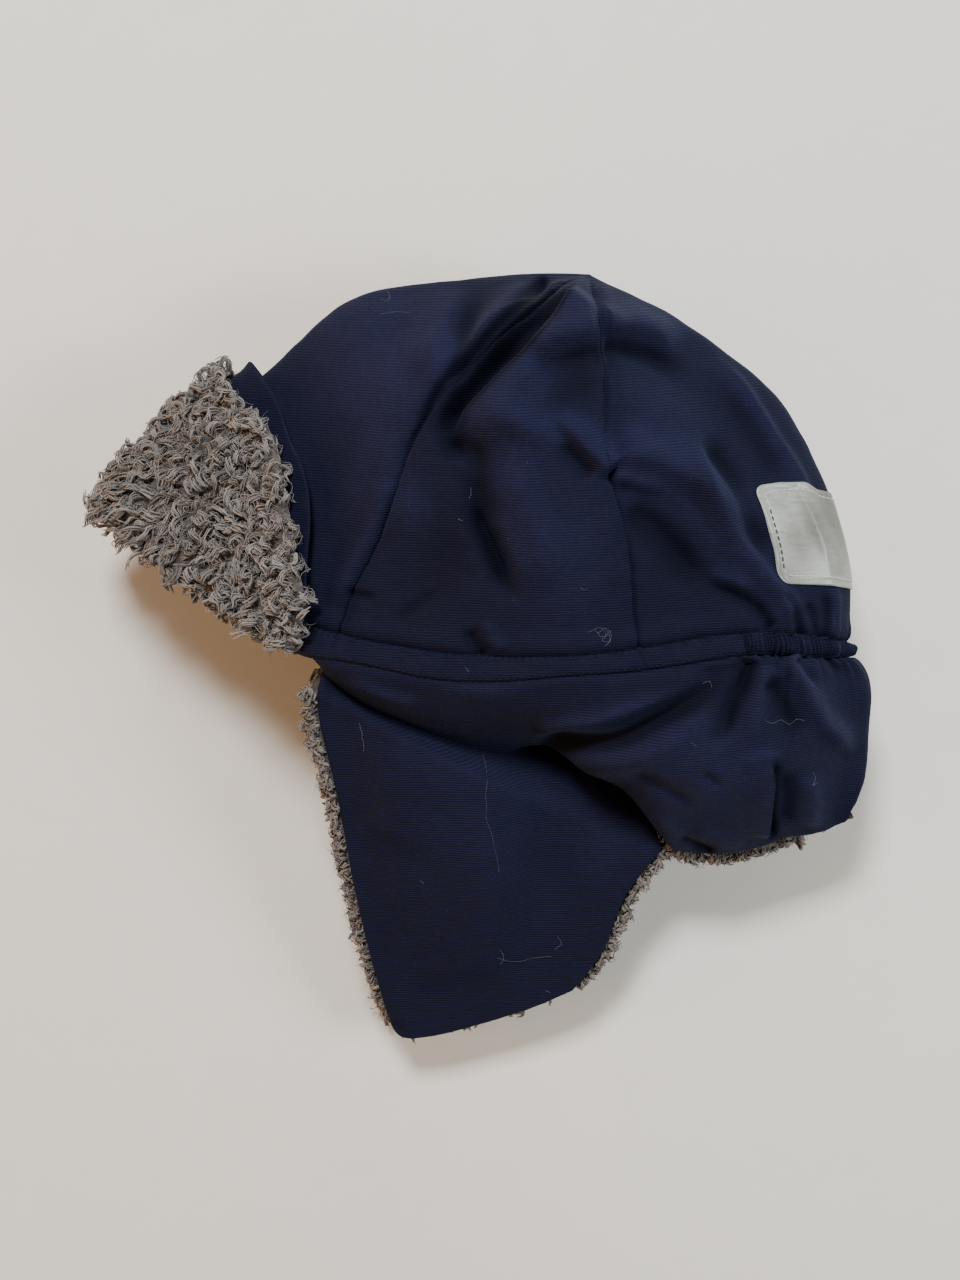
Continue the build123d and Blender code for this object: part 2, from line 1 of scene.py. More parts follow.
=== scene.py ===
import bpy, math
import numpy as np
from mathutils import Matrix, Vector


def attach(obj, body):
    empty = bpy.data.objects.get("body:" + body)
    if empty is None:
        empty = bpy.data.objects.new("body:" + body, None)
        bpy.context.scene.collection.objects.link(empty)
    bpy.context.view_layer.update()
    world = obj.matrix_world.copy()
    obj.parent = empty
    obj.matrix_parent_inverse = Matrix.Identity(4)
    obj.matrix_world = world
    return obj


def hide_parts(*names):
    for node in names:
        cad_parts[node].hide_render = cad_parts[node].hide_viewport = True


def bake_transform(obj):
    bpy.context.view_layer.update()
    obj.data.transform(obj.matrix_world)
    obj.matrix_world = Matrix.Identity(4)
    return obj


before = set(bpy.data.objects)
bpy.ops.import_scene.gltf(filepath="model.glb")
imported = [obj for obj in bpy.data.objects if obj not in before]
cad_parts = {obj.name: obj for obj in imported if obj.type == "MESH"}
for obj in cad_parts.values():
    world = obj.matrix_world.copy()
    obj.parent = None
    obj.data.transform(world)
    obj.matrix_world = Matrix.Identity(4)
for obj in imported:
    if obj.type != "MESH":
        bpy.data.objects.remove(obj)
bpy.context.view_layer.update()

# A child's trapper hat of navy woven cloth with a grey pile lining, lying on its right
# side.  The cloth is one sculpted surface, worked in millimetres: a smooth head shape
# from the same tables as the CAD model, then folds drawn on it as strokes.  The folds
# are given on a drawing sheet over the hat, seen from straight above: u to the right,
# v downwards, one unit 0.36 mm at half the hat's height.

MM = 0.001
EYE = np.array([0.35, 8.9, 700.0])       # the point that the drawing sheet is seen from
ORIGIN = np.array([0.35, 3.1, 0.0])

# ---------------------------------------------------------------- tables of the head shape
S_MER = [0.0, 0.163, 0.334, 0.513, 0.716, 0.869, 1.0]
MERIDIANS = [
    [(-131.6, 52.6), (-114.8, 73.2), (-96.3, 90.1), (-78.7, 102.3), (-64.8, 114.5), (-50.6, 125.1), (-32.5, 132.2), (-14.4, 135.2), (7.2, 137.2), (24.1, 138.3), (39.6, 138.3)],
    [(-94.9, 25.7), (-78.7, 53.2), (-57.0, 82.3), (-29.0, 105.3), (0.0, 121.6), (21.2, 131.6), (39.6, 138.3)],
    [(-50.8, 7.9), (-46.2, 22.3), (-38.7, 36.3), (-30.3, 57.1), (-23.0, 77.0), (-10.2, 95.6), (6.8, 113.6), (23.1, 127.6), (39.6, 138.3)],
    [(-1.7, 0.0), (-0.7, 26.2), (2.7, 53.0), (8.7, 76.4), (16.9, 97.0), (27.6, 118.1), (39.6, 138.3)],
    [(54.8, 2.4), (53.1, 14.3), (49.9, 41.9), (44.7, 60.3), (42.7, 71.4), (43.2, 89.9), (42.6, 102.7), (40.8, 118.9), (39.6, 138.3)],
    [(97.0, 7.9), (99.2, 29.9), (93.1, 55.4), (81.7, 79.6), (68.0, 101.1), (53.7, 121.7), (39.6, 138.3)],
    [(133.4, 4.7), (134.1, 25.1), (129.2, 51.3), (119.9, 73.4), (108.5, 91.8), (91.6, 107.2), (73.1, 120.1), (51.2, 131.3), (39.6, 138.3)],
]
V_Z = [0.0, 0.25, 0.5, 0.75, 0.9, 1.0]
Z_UP = [
    [60, 62, 64, 62, 58, 50],
    [62, 67, 72, 72, 64, 50],
    [73, 80, 87, 84, 72, 50],
    [80, 88, 92, 88, 76, 50],
    [82, 90, 93, 88, 74, 50],
    [76, 80, 80, 74, 66, 50],
    [70, 72, 70, 66, 60, 50],
]
Z_DOWN = [
    [24, 22, 20, 22, 32, 50],
    [15, 15, 14, 16, 28, 50],
    [8, 6, 3, 6, 20, 50],
    [0.6, 0, 0, 4, 18, 50],
    [0.6, 0, 0, 4, 18, 50],
    [0.6, 0, 0, 6, 20, 50],
    [4, 4, 4, 12, 24, 50],
]
S_CASING = [0.0, 0.163, 0.32, 0.395, 0.45, 0.513, 0.62, 0.73, 0.79, 0.85, 0.92, 1.0]
CASING_LOW = [(-134.5, 48.9), (-97.9, 21.1), (-60.0, 0.4), (-43.0, -2.2), (-27.0, -5.6), (-6.5, -8.3), (27.4, -6.5), (57.5, -4.1), (77.1, -1.1), (93.7, 1.0), (113.0, 0.4), (134.0, -0.4)]
S_TEMPLE, S_NOTCH = 0.32, 0.74
CREASE_A, CREASE_B = np.array([-55.0, -5.0, 66.0]), np.array([68.4, -68.0, 40.0])
NECK_LOW = [(68.4, -68.0), (80.0, -69.6), (92.7, -71.1), (104.3, -68.9), (117.4, -66.3), (128.9, -62.3), (136.9, -55.1)]
NECK_BACK = [(134.0, -0.4), (139.6, -4.4), (141.9, -12.5), (141.8, -21.7), (140.5, -45.2), (136.9, -55.1)]
EAR_FRONT = [(-55.0, -5.0), (-56.5, -11.6), (-53.7, -36.2), (-49.0, -64.4), (-45.0, -91.1), (-39.6, -116.1), (-33.8, -138.6)]
EAR_LOW = [(-33.8, -138.6), (-29.6, -143.0), (-23.7, -143.6), (-7.9, -140.4), (8.6, -135.6), (24.0, -130.0), (34.7, -125.0)]
EAR_BACK = [(68.4, -68.0), (60.9, -77.5), (53.9, -87.5), (45.4, -109.5), (34.7, -125.0)]
S_SEAM_A, S_SEAM_B, S_ELASTIC, S_VISOR = 0.34, 0.716, 0.85, 0.30
VISOR_COLS = [-1.159, -1.02, -0.85, -0.66, -0.46, -0.28, -0.12, 0.0, 0.12, 0.28, 0.46, 0.66, 0.85, 1.02, 1.159]
VISOR_FREE = [0.045, 0.235, 0.315, 0.35, 0.36, 0.36, 0.36, 0.36, 0.36, 0.36, 0.36, 0.35, 0.315, 0.235, 0.045]


# ---------------------------------------------------------------- curves and noise
def lerp(a, b, t):
    return a + (b - a) * t


def smooth(x, a, b):
    t = np.clip((x - a) / (b - a), 0, 1)
    return t * t * (3 - 2 * t)


def natural(xs, ys, q):
    """Natural cubic spline through ys at xs, read at q."""
    xs, ys, q = np.asarray(xs, float), np.asarray(ys, float), np.asarray(q, float)
    n = len(xs)
    flat = ys.reshape(n, -1)
    h = np.diff(xs)
    a = np.zeros((n, n))
    r = np.zeros_like(flat)
    a[0, 0] = a[-1, -1] = 1.0
    for i in range(1, n - 1):
        a[i, i - 1], a[i, i], a[i, i + 1] = h[i - 1], 2 * (h[i - 1] + h[i]), h[i]
        r[i] = 6 * ((flat[i + 1] - flat[i]) / h[i] - (flat[i] - flat[i - 1]) / h[i - 1])
    m = np.linalg.solve(a, r)
    k = np.clip(np.searchsorted(xs, q, side="right") - 1, 0, n - 2)
    t = (q - xs[k])[..., None]
    hk = h[k][..., None]
    p = (flat[k] + t * ((flat[k + 1] - flat[k]) / hk - hk * (2 * m[k] + m[k + 1]) / 6)
         + t ** 2 * m[k] / 2 + t ** 3 * (m[k + 1] - m[k]) / (6 * hk))
    return p.reshape(q.shape + ys.shape[1:])


def run_of(p):
    return np.r_[0, np.cumsum(np.linalg.norm(np.diff(np.asarray(p, float), axis=0), axis=1))]


def curve(points, f):
    """A smooth curve through points, read at fractions of its length."""
    d = run_of(points)
    return natural(d / d[-1], points, f)


def lattice(i, j, seed):
    n = (i.astype(np.int64) * 374761393 + j.astype(np.int64) * 668265263 + seed * 1442695041) & 0xFFFFFFFF
    n = ((n ^ (n >> 13)) * 1274126177) & 0xFFFFFFFF
    n = n ^ (n >> 16)
    return (n & 0xFFFF) / 32767.5 - 1.0


def noise(x, y, seed=0):
    """Smooth noise from -1 to 1, one cell a unit."""
    x, y = np.broadcast_arrays(np.asarray(x, float), np.asarray(y, float))
    i, j = np.floor(x), np.floor(y)
    fx, fy = x - i, y - j
    fx, fy = fx * fx * (3 - 2 * fx), fy * fy * (3 - 2 * fy)
    a, b = lattice(i, j, seed), lattice(i + 1, j, seed)
    c, d = lattice(i, j + 1, seed), lattice(i + 1, j + 1, seed)
    return lerp(lerp(a, b, fx), lerp(c, d, fx), fy)


def fractal(x, y, seed=0, octaves=3):
    total, amp = 0.0, 1.0
    for k in range(octaves):
        total = total + noise(x * 2 ** k, y * 2 ** k, seed + 17 * k) * amp
        amp *= 0.5
    return total


# ---------------------------------------------------------------- the head shape
def share(theta):
    return (1 - np.cos(theta)) / 2


def theta_of(s):
    return math.acos(1 - 2 * s)


def crown(theta, v):
    """Outer surface as a grid [row v, column theta].  theta is 0 at the centre-front
    fold, pi/2 on the upper side, pi at the back fold; v is 0 at the casing's upper
    stitch line, 1 at the apex and -1 at the casing's lower seam."""
    theta, v = np.asarray(theta, float), np.asarray(v, float)
    s, vv = share(theta), np.maximum(v, 0.0)
    mer = np.array([curve(m, vv) for m in MERIDIANS])
    xy = natural(S_MER, mer, s)                                  # [column, row, 2]
    up = natural(S_MER, natural(V_Z, np.array(Z_UP, float).T, vv).T, s)
    down = natural(S_MER, natural(V_Z, np.array(Z_DOWN, float).T, vv).T, s)
    down = np.maximum(down, 0.0) * smooth(down, 0.3, 1.2)
    centre = lerp((40 + 2 * s)[:, None], 50.0, (vv ** 1.3)[None, :])
    up, down = np.maximum(up, centre), np.minimum(down, centre)
    sn = np.sin(theta)[:, None]
    low = np.maximum(centre - (centre - down) * 1.12 * np.abs(sn) ** 0.7, down)
    z = np.where(sn >= 0, centre + (up - centre) * np.abs(sn) ** 0.8, low)
    z = np.maximum(z, 0.4)
    below = natural(S_CASING, CASING_LOW, s)[:, None, :]
    xy = lerp(xy, below, np.clip(-v, 0, 2)[None, :, None])
    return np.concatenate([xy, z[..., None]], -1).transpose(1, 0, 2) + ORIGIN


def casing_z(theta):
    return crown(theta, [0.0])[0][:, 2]


def skirt_plain(theta, w):
    """The skirt as the CAD model has it, as a grid [row w, column theta]."""
    theta, w = np.asarray(theta, float), np.asarray(w, float)
    s, sn = share(theta), np.sin(theta)
    up_side = sn >= 0
    top = natural(S_CASING, CASING_LOW, s)
    t = np.clip((s - S_TEMPLE) / (S_NOTCH - S_TEMPLE), 0, 1)
    low = CREASE_A[None, :2] + (CREASE_B - CREASE_A)[None, :2] * t[:, None]
    neck = curve(NECK_LOW, np.clip((s - S_NOTCH) / (1 - S_NOTCH), 0, 1))
    low = np.where((s > S_NOTCH)[:, None], neck, low)
    xy = lerp(top[None], low[None], w[:, None, None])
    back = curve(NECK_BACK, w)
    pull = smooth(s, 0.86, 1.0)
    straight = lerp(np.array(CASING_LOW[-1])[None], np.array(NECK_LOW[-1])[None], w[:, None])
    xy = xy + pull[None, :, None] * (back - straight)[:, None, :]
    z0 = casing_z(theta)
    edge_up = np.where(s > S_NOTCH, lerp(40.0, 52.0, np.clip((s - S_NOTCH) * 8, 0, 1)), 66 + (40 - 66) * t)
    fade = np.clip(np.where(s > 0.80, np.abs(sn) ** 0.8 / abs(math.sin(theta_of(0.80))) ** 0.8, 1.0), 0, 1)
    zu = np.where(s > 0.8, 39 + (edge_up - 39) * fade, edge_up)
    zd = np.where(s > 0.8, 39 - 39 * fade ** 0.85, 0.0)
    z1 = np.where(up_side, zu, zd)
    z = lerp(z0[None], z1[None], w[:, None])
    z = np.where((up_side | (s > 0.86))[None], z, lerp(z0[None], z1[None], np.minimum(1.0, w * 1.8)[:, None]))
    return np.concatenate([xy, np.maximum(z, 0.2)[..., None]], -1) + ORIGIN


# The upper side of the skirt: rows from the casing's seam to the fold over the ear
# flap and the neck flap's hem, as (share, u, v, height).
SKIRT_SHOULDER = [(0.32, 316, 662, 68), (0.36, 333, 673, 70), (0.395, 355, 688, 71), (0.45, 399, 705, 71), (0.513, 458, 711, 73), (0.57, 508, 709, 75), (0.62, 552, 706, 77), (0.67, 598, 706, 79), (0.73, 650, 700, 78), (0.79, 705, 695, 75), (0.85, 752, 690, 72), (0.92, 806, 690, 64), (1.0, 868, 672, 42)]
SKIRT_MID = [(0.32, 321, 671, 65), (0.36, 337, 684, 65), (0.395, 358, 699, 63), (0.45, 403, 719, 62), (0.513, 456, 730, 62), (0.57, 506, 732, 63), (0.62, 550, 731, 68), (0.67, 592, 744, 73), (0.73, 652, 764, 73), (0.79, 702, 776, 70), (0.85, 752, 776, 67), (0.92, 812, 766, 59), (1.0, 870, 742, 39)]
SKIRT_LOW = [(0.32, 327, 680, 62), (0.36, 343, 696, 55), (0.395, 362, 709, 50), (0.45, 408, 733, 46), (0.513, 457, 750, 45), (0.57, 500, 757, 46), (0.605, 525, 748, 51), (0.625, 543, 749, 56), (0.65, 572, 765, 58), (0.68, 604, 781, 57), (0.705, 631, 799, 55), (0.725, 651, 826, 51), (0.745, 668, 848, 47), (0.765, 681, 853, 44), (0.80, 702, 856, 43), (0.84, 735, 855, 43), (0.87, 760, 849, 42), (0.90, 788, 839, 42), (0.93, 813, 836, 41), (0.97, 841, 824, 38), (1.0, 855, 812, 35)]


def sheet_to_hat(u, v, z):
    """From the drawing sheet to the hat's frame, at height z."""
    k = 0.36 * (700 - z) / 650
    return np.stack([EYE[0] + (u - 480) * k, EYE[1] - (v - 640) * k, z], -1)


def hat_to_sheet(p):
    k = 0.36 * (700 - p[..., 2]) / 650
    return np.stack([480 + (p[..., 0] - EYE[0]) / k, 640 - (p[..., 1] - EYE[1]) / k], -1)


def net_row(rows, s):
    r = np.array(rows, float)
    q = natural(r[:, 0], r[:, 1:], s)
    return sheet_to_hat(q[:, 0], q[:, 1], q[:, 2])


def skirt_upper(theta, w):
    theta, w = np.asarray(theta, float), np.asarray(w, float)
    s = share(theta)
    rows = np.array([crown(theta, [-1.0])[0], net_row(SKIRT_SHOULDER, s), net_row(SKIRT_MID, s), net_row(SKIRT_LOW, s)])
    net = natural([0.0, 0.33, 0.66, 1.0], rows, w)
    plain = skirt_plain(theta, w)
    k = np.maximum(smooth(s, 0.955, 1.0), (theta >= math.pi).astype(float))
    return lerp(net, plain, k[None, :, None])


AWAY = np.array([-0.45470407, -0.89064258, 0.0])      # in plan, from the fold to the ear flap
ALONG = np.array([0.89064258, -0.45470407, 0.0])


def flap_grid(us, vs, back, side):
    """An ear flap as a grid: rows past the fold for each distance in back (mm), then
    rows from the fold to the lower edge at vs; columns from the front to the back edge."""
    us, vs = np.asarray(us, float), np.asarray(vs, float)
    a, b = np.array(EAR_FRONT[0]), np.array(EAR_BACK[0])
    f, k, l = curve(EAR_FRONT, vs), curve(EAR_BACK, vs), curve(EAR_LOW, us)
    c = a + (b - a) * us[:, None]
    u, v = us[None, :, None], vs[:, None, None]
    g = lerp(c[None], l[None], v) + lerp(f[:, None], k[:, None], u) - lerp(lerp(a, b, u), lerp(l[0], l[-1], u), v)
    up = c[None] - np.asarray(back, float)[:, None, None] * AWAY[:2]
    xy = np.concatenate([up, g], 0)
    if side == "left":
        zc = natural([0, 0.1, 0.28, 0.5, 0.75, 1.0], [63.5, 57.5, 51.5, 48.5, 45.5, 43.0], us)
        d = vs[:, None] * natural([0, 0.5, 1], [138.0, 105.0, 62.0], us)[None]
        lift = 13.5 * smooth(d, -0.5, 10) * (1 - smooth(d, 24, 105)) * ((0.40 + 0.60 * smooth(us, 0.02, 0.22)) * (1 - 0.85 * smooth(us, 0.47, 0.72)))[None]
        z = lerp(zc[None], lerp(25.0, 27.0, us)[None], (vs ** 0.95)[:, None]) + lift
        zb = zc[None] - 0.12 * np.asarray(back, float)[:, None]
    else:
        z = np.full((len(vs), len(us)), 0.3)
        zb = np.full((len(back), len(us)), 0.3)
    return np.concatenate([xy, np.concatenate([zb, z], 0)[..., None]], -1) + ORIGIN


# ---------------------------------------------------------------- folds
# Each stroke: kind, points (u, v), height in mm, width left and right of its path in
# sheet units, and the shares of its length over which it fades in and out.  "r" is a
# ridge (or a valley, where the height is negative).  "s" is a fold edge: high on one
# side, with a drop on the other; its last values are the high side (+1 right of the
# path), the hollow's depth and how far the edge hangs over.  "b" is a soft mound.
CROWN_FOLDS = [
    # the long soft fold on the front panel
    ("r", [(468, 279), (458, 296), (450, 312), (440, 339), (435, 366), (432, 392)], 2.7, 15, 30, 0.50, 0.3),
    ("r", [(482, 292), (468, 326), (457, 360), (447, 390)], -2.4, 11, 12, 0.45, 0.3),
    ("b", (410, 330), (40, 26), -25, 0.8),
    # the front seam turned into a deep fold
    ("r", [(549, 277), (523, 297), (496, 323), (467, 355), (448, 375), (433, 397), (420, 425), (397, 468)], -2.6, 5.0, 4.0, 0.03, 0.35),
    ("r", [(536, 283), (508, 303), (482, 328), (456, 356), (438, 380)], 1.5, 8, 12, 0.15, 0.3),
    # the hollow between the two folds
    ("r", [(566, 286), (538, 313), (503, 350), (474, 384), (452, 418), (436, 450)], -4.4, 20, 15, 0.18, 0.22),
    ("b", (500, 354), (24, 14), 42, -2.2),
    # the fold that lies over it
    ("s", [(578, 283), (552, 320), (533, 343), (505, 368), (480, 395), (461, 416), (449, 436)], 4.4, 13, 38, 0.10, 0.16, -1, 2.2, 1.6),
    ("b", (455, 447), (13, 10), 0, -3.4),
    ("b", (520, 430), (40, 26), -40, 1.4),
    ("r", [(452, 452), (470, 470), (492, 486)], 1.2, 10, 10, 0.3, 0.5),
    # the transverse folds on both sides of the rear seam
    ("r", [(520, 352), (548, 342), (576, 334), (600, 330)], 2.0, 16, 10, 0.3, 0.15),
    ("r", [(523, 372), (551, 363), (576, 357), (604, 352)], -2.2, 10, 12, 0.3, 0.1),
    ("r", [(600, 330), (628, 328), (654, 337), (682, 356)], 3.4, 20, 9, 0.08, 0.4),
    ("r", [(602, 349), (630, 350), (657, 359), (690, 378)], -2.8, 9, 14, 0.08, 0.4),
    # the diagonal ridge that ends at the rear seam
    ("r", [(548, 408), (566, 426), (584, 446), (600, 462), (612, 474)], 2.8, 20, 8, 0.35, 0.1),
    ("r", [(560, 440), (577, 460), (594, 478)], -1.6, 7, 12, 0.3, 0.2),
    ("r", [(613, 476), (640, 483), (676, 494)], 1.5, 9, 6, 0.05, 0.55),
    ("r", [(616, 488), (642, 494), (668, 502)], -0.9, 6, 9, 0.1, 0.6),
    # along the front seam
    ("r", [(388, 478), (378, 516), (360, 553), (343, 586), (332, 615)], 1.5, 8, 9, 0.1, 0.25),
    ("b", (407, 507), (20, 26), 15, 1.5),
    ("r", [(345, 591), (360, 595), (376, 598)], -1.5, 4, 5, 0.2, 0.3),
    ("r", [(442, 587), (416, 606), (390, 627)], -0.9, 6, 5, 0.3, 0.3),
    # the long crease down the middle of the side panel
    ("r", [(470, 500), (483, 526), (500, 561), (510, 590), (514, 606)], -2.6, 7, 12, 0.25, 0.3),
    ("r", [(486, 508), (500, 538), (514, 566), (524, 594)], 1.7, 12, 7, 0.25, 0.35),
    ("r", [(466, 628), (474, 642), (486, 656)], -2.2, 6, 8, 0.3, 0.1),
    ("r", [(480, 618), (492, 636), (502, 652)], 0.9, 8, 6, 0.3, 0.1),
    ("b", (560, 560), (46, 60), 10, 1.6),
    ("b", (440, 560), (30, 44), -15, -0.9),
    ("r", [(474, 436), (476, 480), (486, 520), (502, 560), (512, 592)], -2.2, 12, 15, 0.15, 0.2),
    ("r", [(508, 440), (522, 500), (542, 560), (552, 600)], 1.8, 20, 22, 0.3, 0.3),
    ("b", (516, 424), (42, 16), -20, 2.4),
    ("b", (366, 345), (44, 60), 0, 2.6),
    ("r", [(404, 330), (389, 400), (372, 470), (352, 540)], 1.2, 24, 20, 0.3, 0.3),
    ("b", (575, 380), (24, 40), 0, -1.4),
    # back panel
    ("r", [(612, 452), (650, 460), (690, 480), (728, 510), (760, 548)], 3.8, 24, 15, 0.12, 0.3),
    ("r", [(622, 506), (652, 526), (678, 556), (696, 590)], -2.4, 14, 18, 0.2, 0.3),
    ("b", (668, 415), (52, 24), -35, 1.4),
    ("r", [(700, 348), (729, 372), (754, 405), (776, 440), (799, 476), (810, 505), (820, 532), (834, 556), (843, 580)], 1.9, 6, 11, 0.25, 0.15),
    ("r", [(716, 384), (742, 416), (764, 450), (783, 480)], -1.3, 9, 12, 0.3, 0.2),
    ("r", [(688, 430), (697, 462), (711, 508), (727, 532), (749, 557), (771, 583), (789, 603), (798, 624)], 2.8, 9, 15, 0.2, 0.1),
    ("r", [(700, 436), (716, 462), (731, 486), (740, 508), (754, 536), (767, 560)], -3.0, 12, 9, 0.2, 0.25),
    ("r", [(706, 583), (736, 595), (757, 609), (772, 630)], -2.4, 6, 8, 0.25, 0.05),
    ("r", [(704, 572), (732, 581), (756, 592)], 1.2, 9, 6, 0.3, 0.3),
    ("r", [(670, 520), (690, 560), (716, 600)], -1.0, 12, 14, 0.4, 0.3),
    ("r", [(779, 590), (794, 609), (800, 636)], -2.2, 4, 4, 0.25, 0.02),
    ("r", [(806, 600), (813, 618), (818, 638)], -1.7, 4, 4, 0.3, 0.02),
    ("r", [(834, 584), (835, 610), (834, 638)], 1.6, 6, 5, 0.25, 0.02),
    ("r", [(824, 590), (826, 612), (825, 638)], -1.4, 4, 4, 0.3, 0.02),
]
SKIRT_FOLDS = [
    # the thin hollow that runs up from the fold over the ear flap to the elastic
    ("r", [(532, 741), (552, 741), (590, 742), (622, 736), (650, 722), (680, 707), (712, 688), (740, 670)], -3.6, 9, 10, 0.12, 0.35),
    ("r", [(533, 734), (556, 728), (584, 723), (618, 714), (650, 702), (684, 690)], 1.5, 8, 7, 0.1, 0.4),
    ("r", [(560, 757), (596, 762), (640, 757), (680, 735), (716, 712)], 1.9, 12, 14, 0.25, 0.4),
    ("r", [(690, 672), (716, 671), (742, 664)], -0.9, 5, 7, 0.4, 0.1),
    # folds that fan out below the end of the elastic
    ("r", [(750, 657), (743, 680), (732, 706), (724, 728), (700, 748)], -2.5, 7, 9, 0.04, 0.45),
    ("r", [(757, 659), (749, 680), (741, 700)], -1.3, 5, 5, 0.05, 0.4),
    ("r", [(764, 662), (760, 690), (752, 722), (744, 752)], 2.0, 9, 8, 0.1, 0.4),
    ("r", [(782, 657), (792, 672), (803, 690), (820, 722), (842, 742), (860, 753)], 2.6, 15, 8, 0.06, 0.25),
    ("r", [(770, 676), (779, 700), (790, 722), (799, 742)], -2.2, 9, 11, 0.15, 0.35),
    ("r", [(795, 658), (808, 676), (822, 690)], -1.8, 6, 6, 0.1, 0.5),
    ("r", [(824, 656), (836, 668), (850, 676)], -1.0, 5, 5, 0.1, 0.5),
    ("r", [(738, 766), (754, 760), (770, 755), (784, 760)], 1.3, 7, 9, 0.3, 0.3),
    ("s", [(768, 754), (774, 778), (772, 806), (769, 840)], 1.8, 6, 16, 0.25, 0.1, 1, 2.6, 0.4),
    ("r", [(783, 768), (786, 796), (782, 826)], -1.8, 9, 7, 0.25, 0.2),
    ("r", [(806, 770), (812, 800), (808, 830)], 1.2, 12, 12, 0.3, 0.2),
    # the neck flap's puffed side over the ear flap
    ("r", [(622, 760), (652, 780), (678, 794), (700, 804)], -1.3, 7, 7, 0.3, 0.3),
    ("r", [(700, 770), (710, 778), (720, 787)], -1.0, 6, 6, 0.3, 0.3),
    ("r", [(676, 833), (694, 843), (716, 853)], -1.5, 4, 5, 0.25, 0.15),
    ("r", [(690, 826), (720, 838), (748, 842)], 0.9, 8, 8, 0.3, 0.3),
    ("r", [(652, 812), (676, 834), (700, 850)], 0.9, 8, 8, 0.3, 0.3),
    ("b", (690, 770), (60, 40), 20, 1.6),
    # below the casing
    ("r", [(345, 676), (372, 690), (398, 700), (428, 706)], 1.0, 8, 6, 0.3, 0.3),
    ("b", (480, 694), (40, 9), 0, 0.7),
]
CASING_FOLDS = [
    ("r", [(337, 633), (334, 640), (332, 647)], -0.9, 1.7, 1.7, 0.01, 0.01),
    ("r", [(640, 650), (642, 659), (645, 668)], -0.9, 1.7, 1.7, 0.01, 0.01),
]
FLAP_FOLDS = [
    ("r", [(350, 720), (400, 752), (470, 776), (540, 800), (600, 830)], 0.9, 14, 26, 0.3, 0.3),
    ("b", (470, 850), (70, 90), 20, 0.9),
    ("r", [(352, 830), (400, 850), (450, 862)], -0.6, 12, 12, 0.3, 0.4),
    ("r", [(400, 1000), (450, 985), (520, 975)], -0.6, 10, 14, 0.3, 0.4),
    ("b", (600, 860), (34, 24), -30, 0.8),
    ("r", [(380, 1010), (392, 1024), (410, 1034)], -0.8, 5, 5, 0.3, 0.3),
]


def to_path(q, points):
    """Distance of the points q from a path, on its right (+) or left (-), and where
    along it, from 0 to 1."""
    f = np.linspace(0, 1, 6 * len(points))
    p = curve(points, f) if len(points) > 2 else lerp(np.array(points[0], float), np.array(points[1], float), f[:, None])
    best = np.full(len(q), 1e9)
    side, where = np.zeros(len(q)), np.zeros(len(q))
    d = run_of(p)
    for i in range(len(p) - 1):
        e = p[i + 1] - p[i]
        n = e @ e
        if n < 1e-9:
            continue
        r = q - p[i]
        t = np.clip(r @ e / n, 0, 1)
        off = r - t[:, None] * e
        dist = np.hypot(off[:, 0], off[:, 1])
        m = dist < best
        best = np.where(m, dist, best)
        side = np.where(m, np.sign(e[0] * r[:, 1] - e[1] * r[:, 0]), side)
        where = np.where(m, (d[i] + t * np.sqrt(n)) / d[-1], where)
    return best, side, where, p


def fold_field(q, folds, broad=0.0):
    """Height (mm) and sideways push of the strokes at the sheet points q."""
    h, move = np.zeros(len(q)), np.zeros((len(q), 2))
    for f in folds:
        if f[0] == "b":
            (cu, cv), (ru, rv), turn, amp = f[1:5]
            c, s = math.cos(math.radians(turn)), math.sin(math.radians(turn))
            du, dv = q[:, 0] - cu, q[:, 1] - cv
            a, b = (du * c - dv * s) / ru, (du * s + dv * c) / rv
            h += (1 + 0.6 * broad) * amp * np.exp(-(a * a + b * b))
            continue
        pts = np.array(f[1], float)
        amp, wl, wr, t0, t1 = f[2:7]
        reach = 2.6 * max(wl, wr)
        lo, hi = pts.min(0) - reach, pts.max(0) + reach
        sel = np.flatnonzero(((q > lo) & (q < hi)).all(1))
        if not len(sel):
            continue
        d, side, t, path = to_path(q[sel], f[1])
        taper = np.minimum(smooth(t, 0, t0), 1 - smooth(t, 1 - t1, 1.0))
        if f[0] == "r":
            more = 1 + broad * float(smooth(0.5 * (wl + wr), 7.0, 18.0))
            h[sel] += more * amp * np.exp(-(d / np.where(side > 0, wr, wl)) ** 2) * taper
        else:
            hi_side, under, over = f[7:10]
            w_hi, w_lo = (wr, wl) if hi_side > 0 else (wl, wr)
            if hi_side < 0:
                w_hi, w_lo = max(wl, wr), min(wl, wr)
            x = d * side * hi_side
            k = 0.5 * (1 + np.tanh(x / 1.5))
            up = amp * np.exp(-(np.maximum(x, 0) / w_hi) ** 2)
            dn = -under * np.exp(-(np.minimum(x, 0) / w_lo) ** 2)
            h[sel] += lerp(dn, up, k) * taper
            e = (path[-1] - path[0]) / np.linalg.norm(path[-1] - path[0])
            right = np.array([-e[1], e[0]])
            push = over * np.exp(-(np.maximum(x, 0) / 9) ** 2) * k * taper
            move[sel] += -hi_side * push[:, None] * right * [1, -1]
    return h, move


def sculpt(P, N, folds, gain=1.0, broad=0.0):
    """Pushes the grid P along its normals N by the strokes, where it faces up."""
    flat, q = P.reshape(-1, 3), hat_to_sheet(P).reshape(-1, 2)
    h, move = fold_field(q, folds, broad)
    facing = smooth(N.reshape(-1, 3)[:, 2], -0.05, 0.4)
    D = N.reshape(-1, 3) * 0.6 + np.array([0, 0, 0.6])
    D /= np.maximum(np.linalg.norm(D, axis=1, keepdims=True), 1e-9)
    out = flat + D * (h * facing * gain)[:, None]
    out[:, :2] += move * facing[:, None]
    return out.reshape(P.shape)


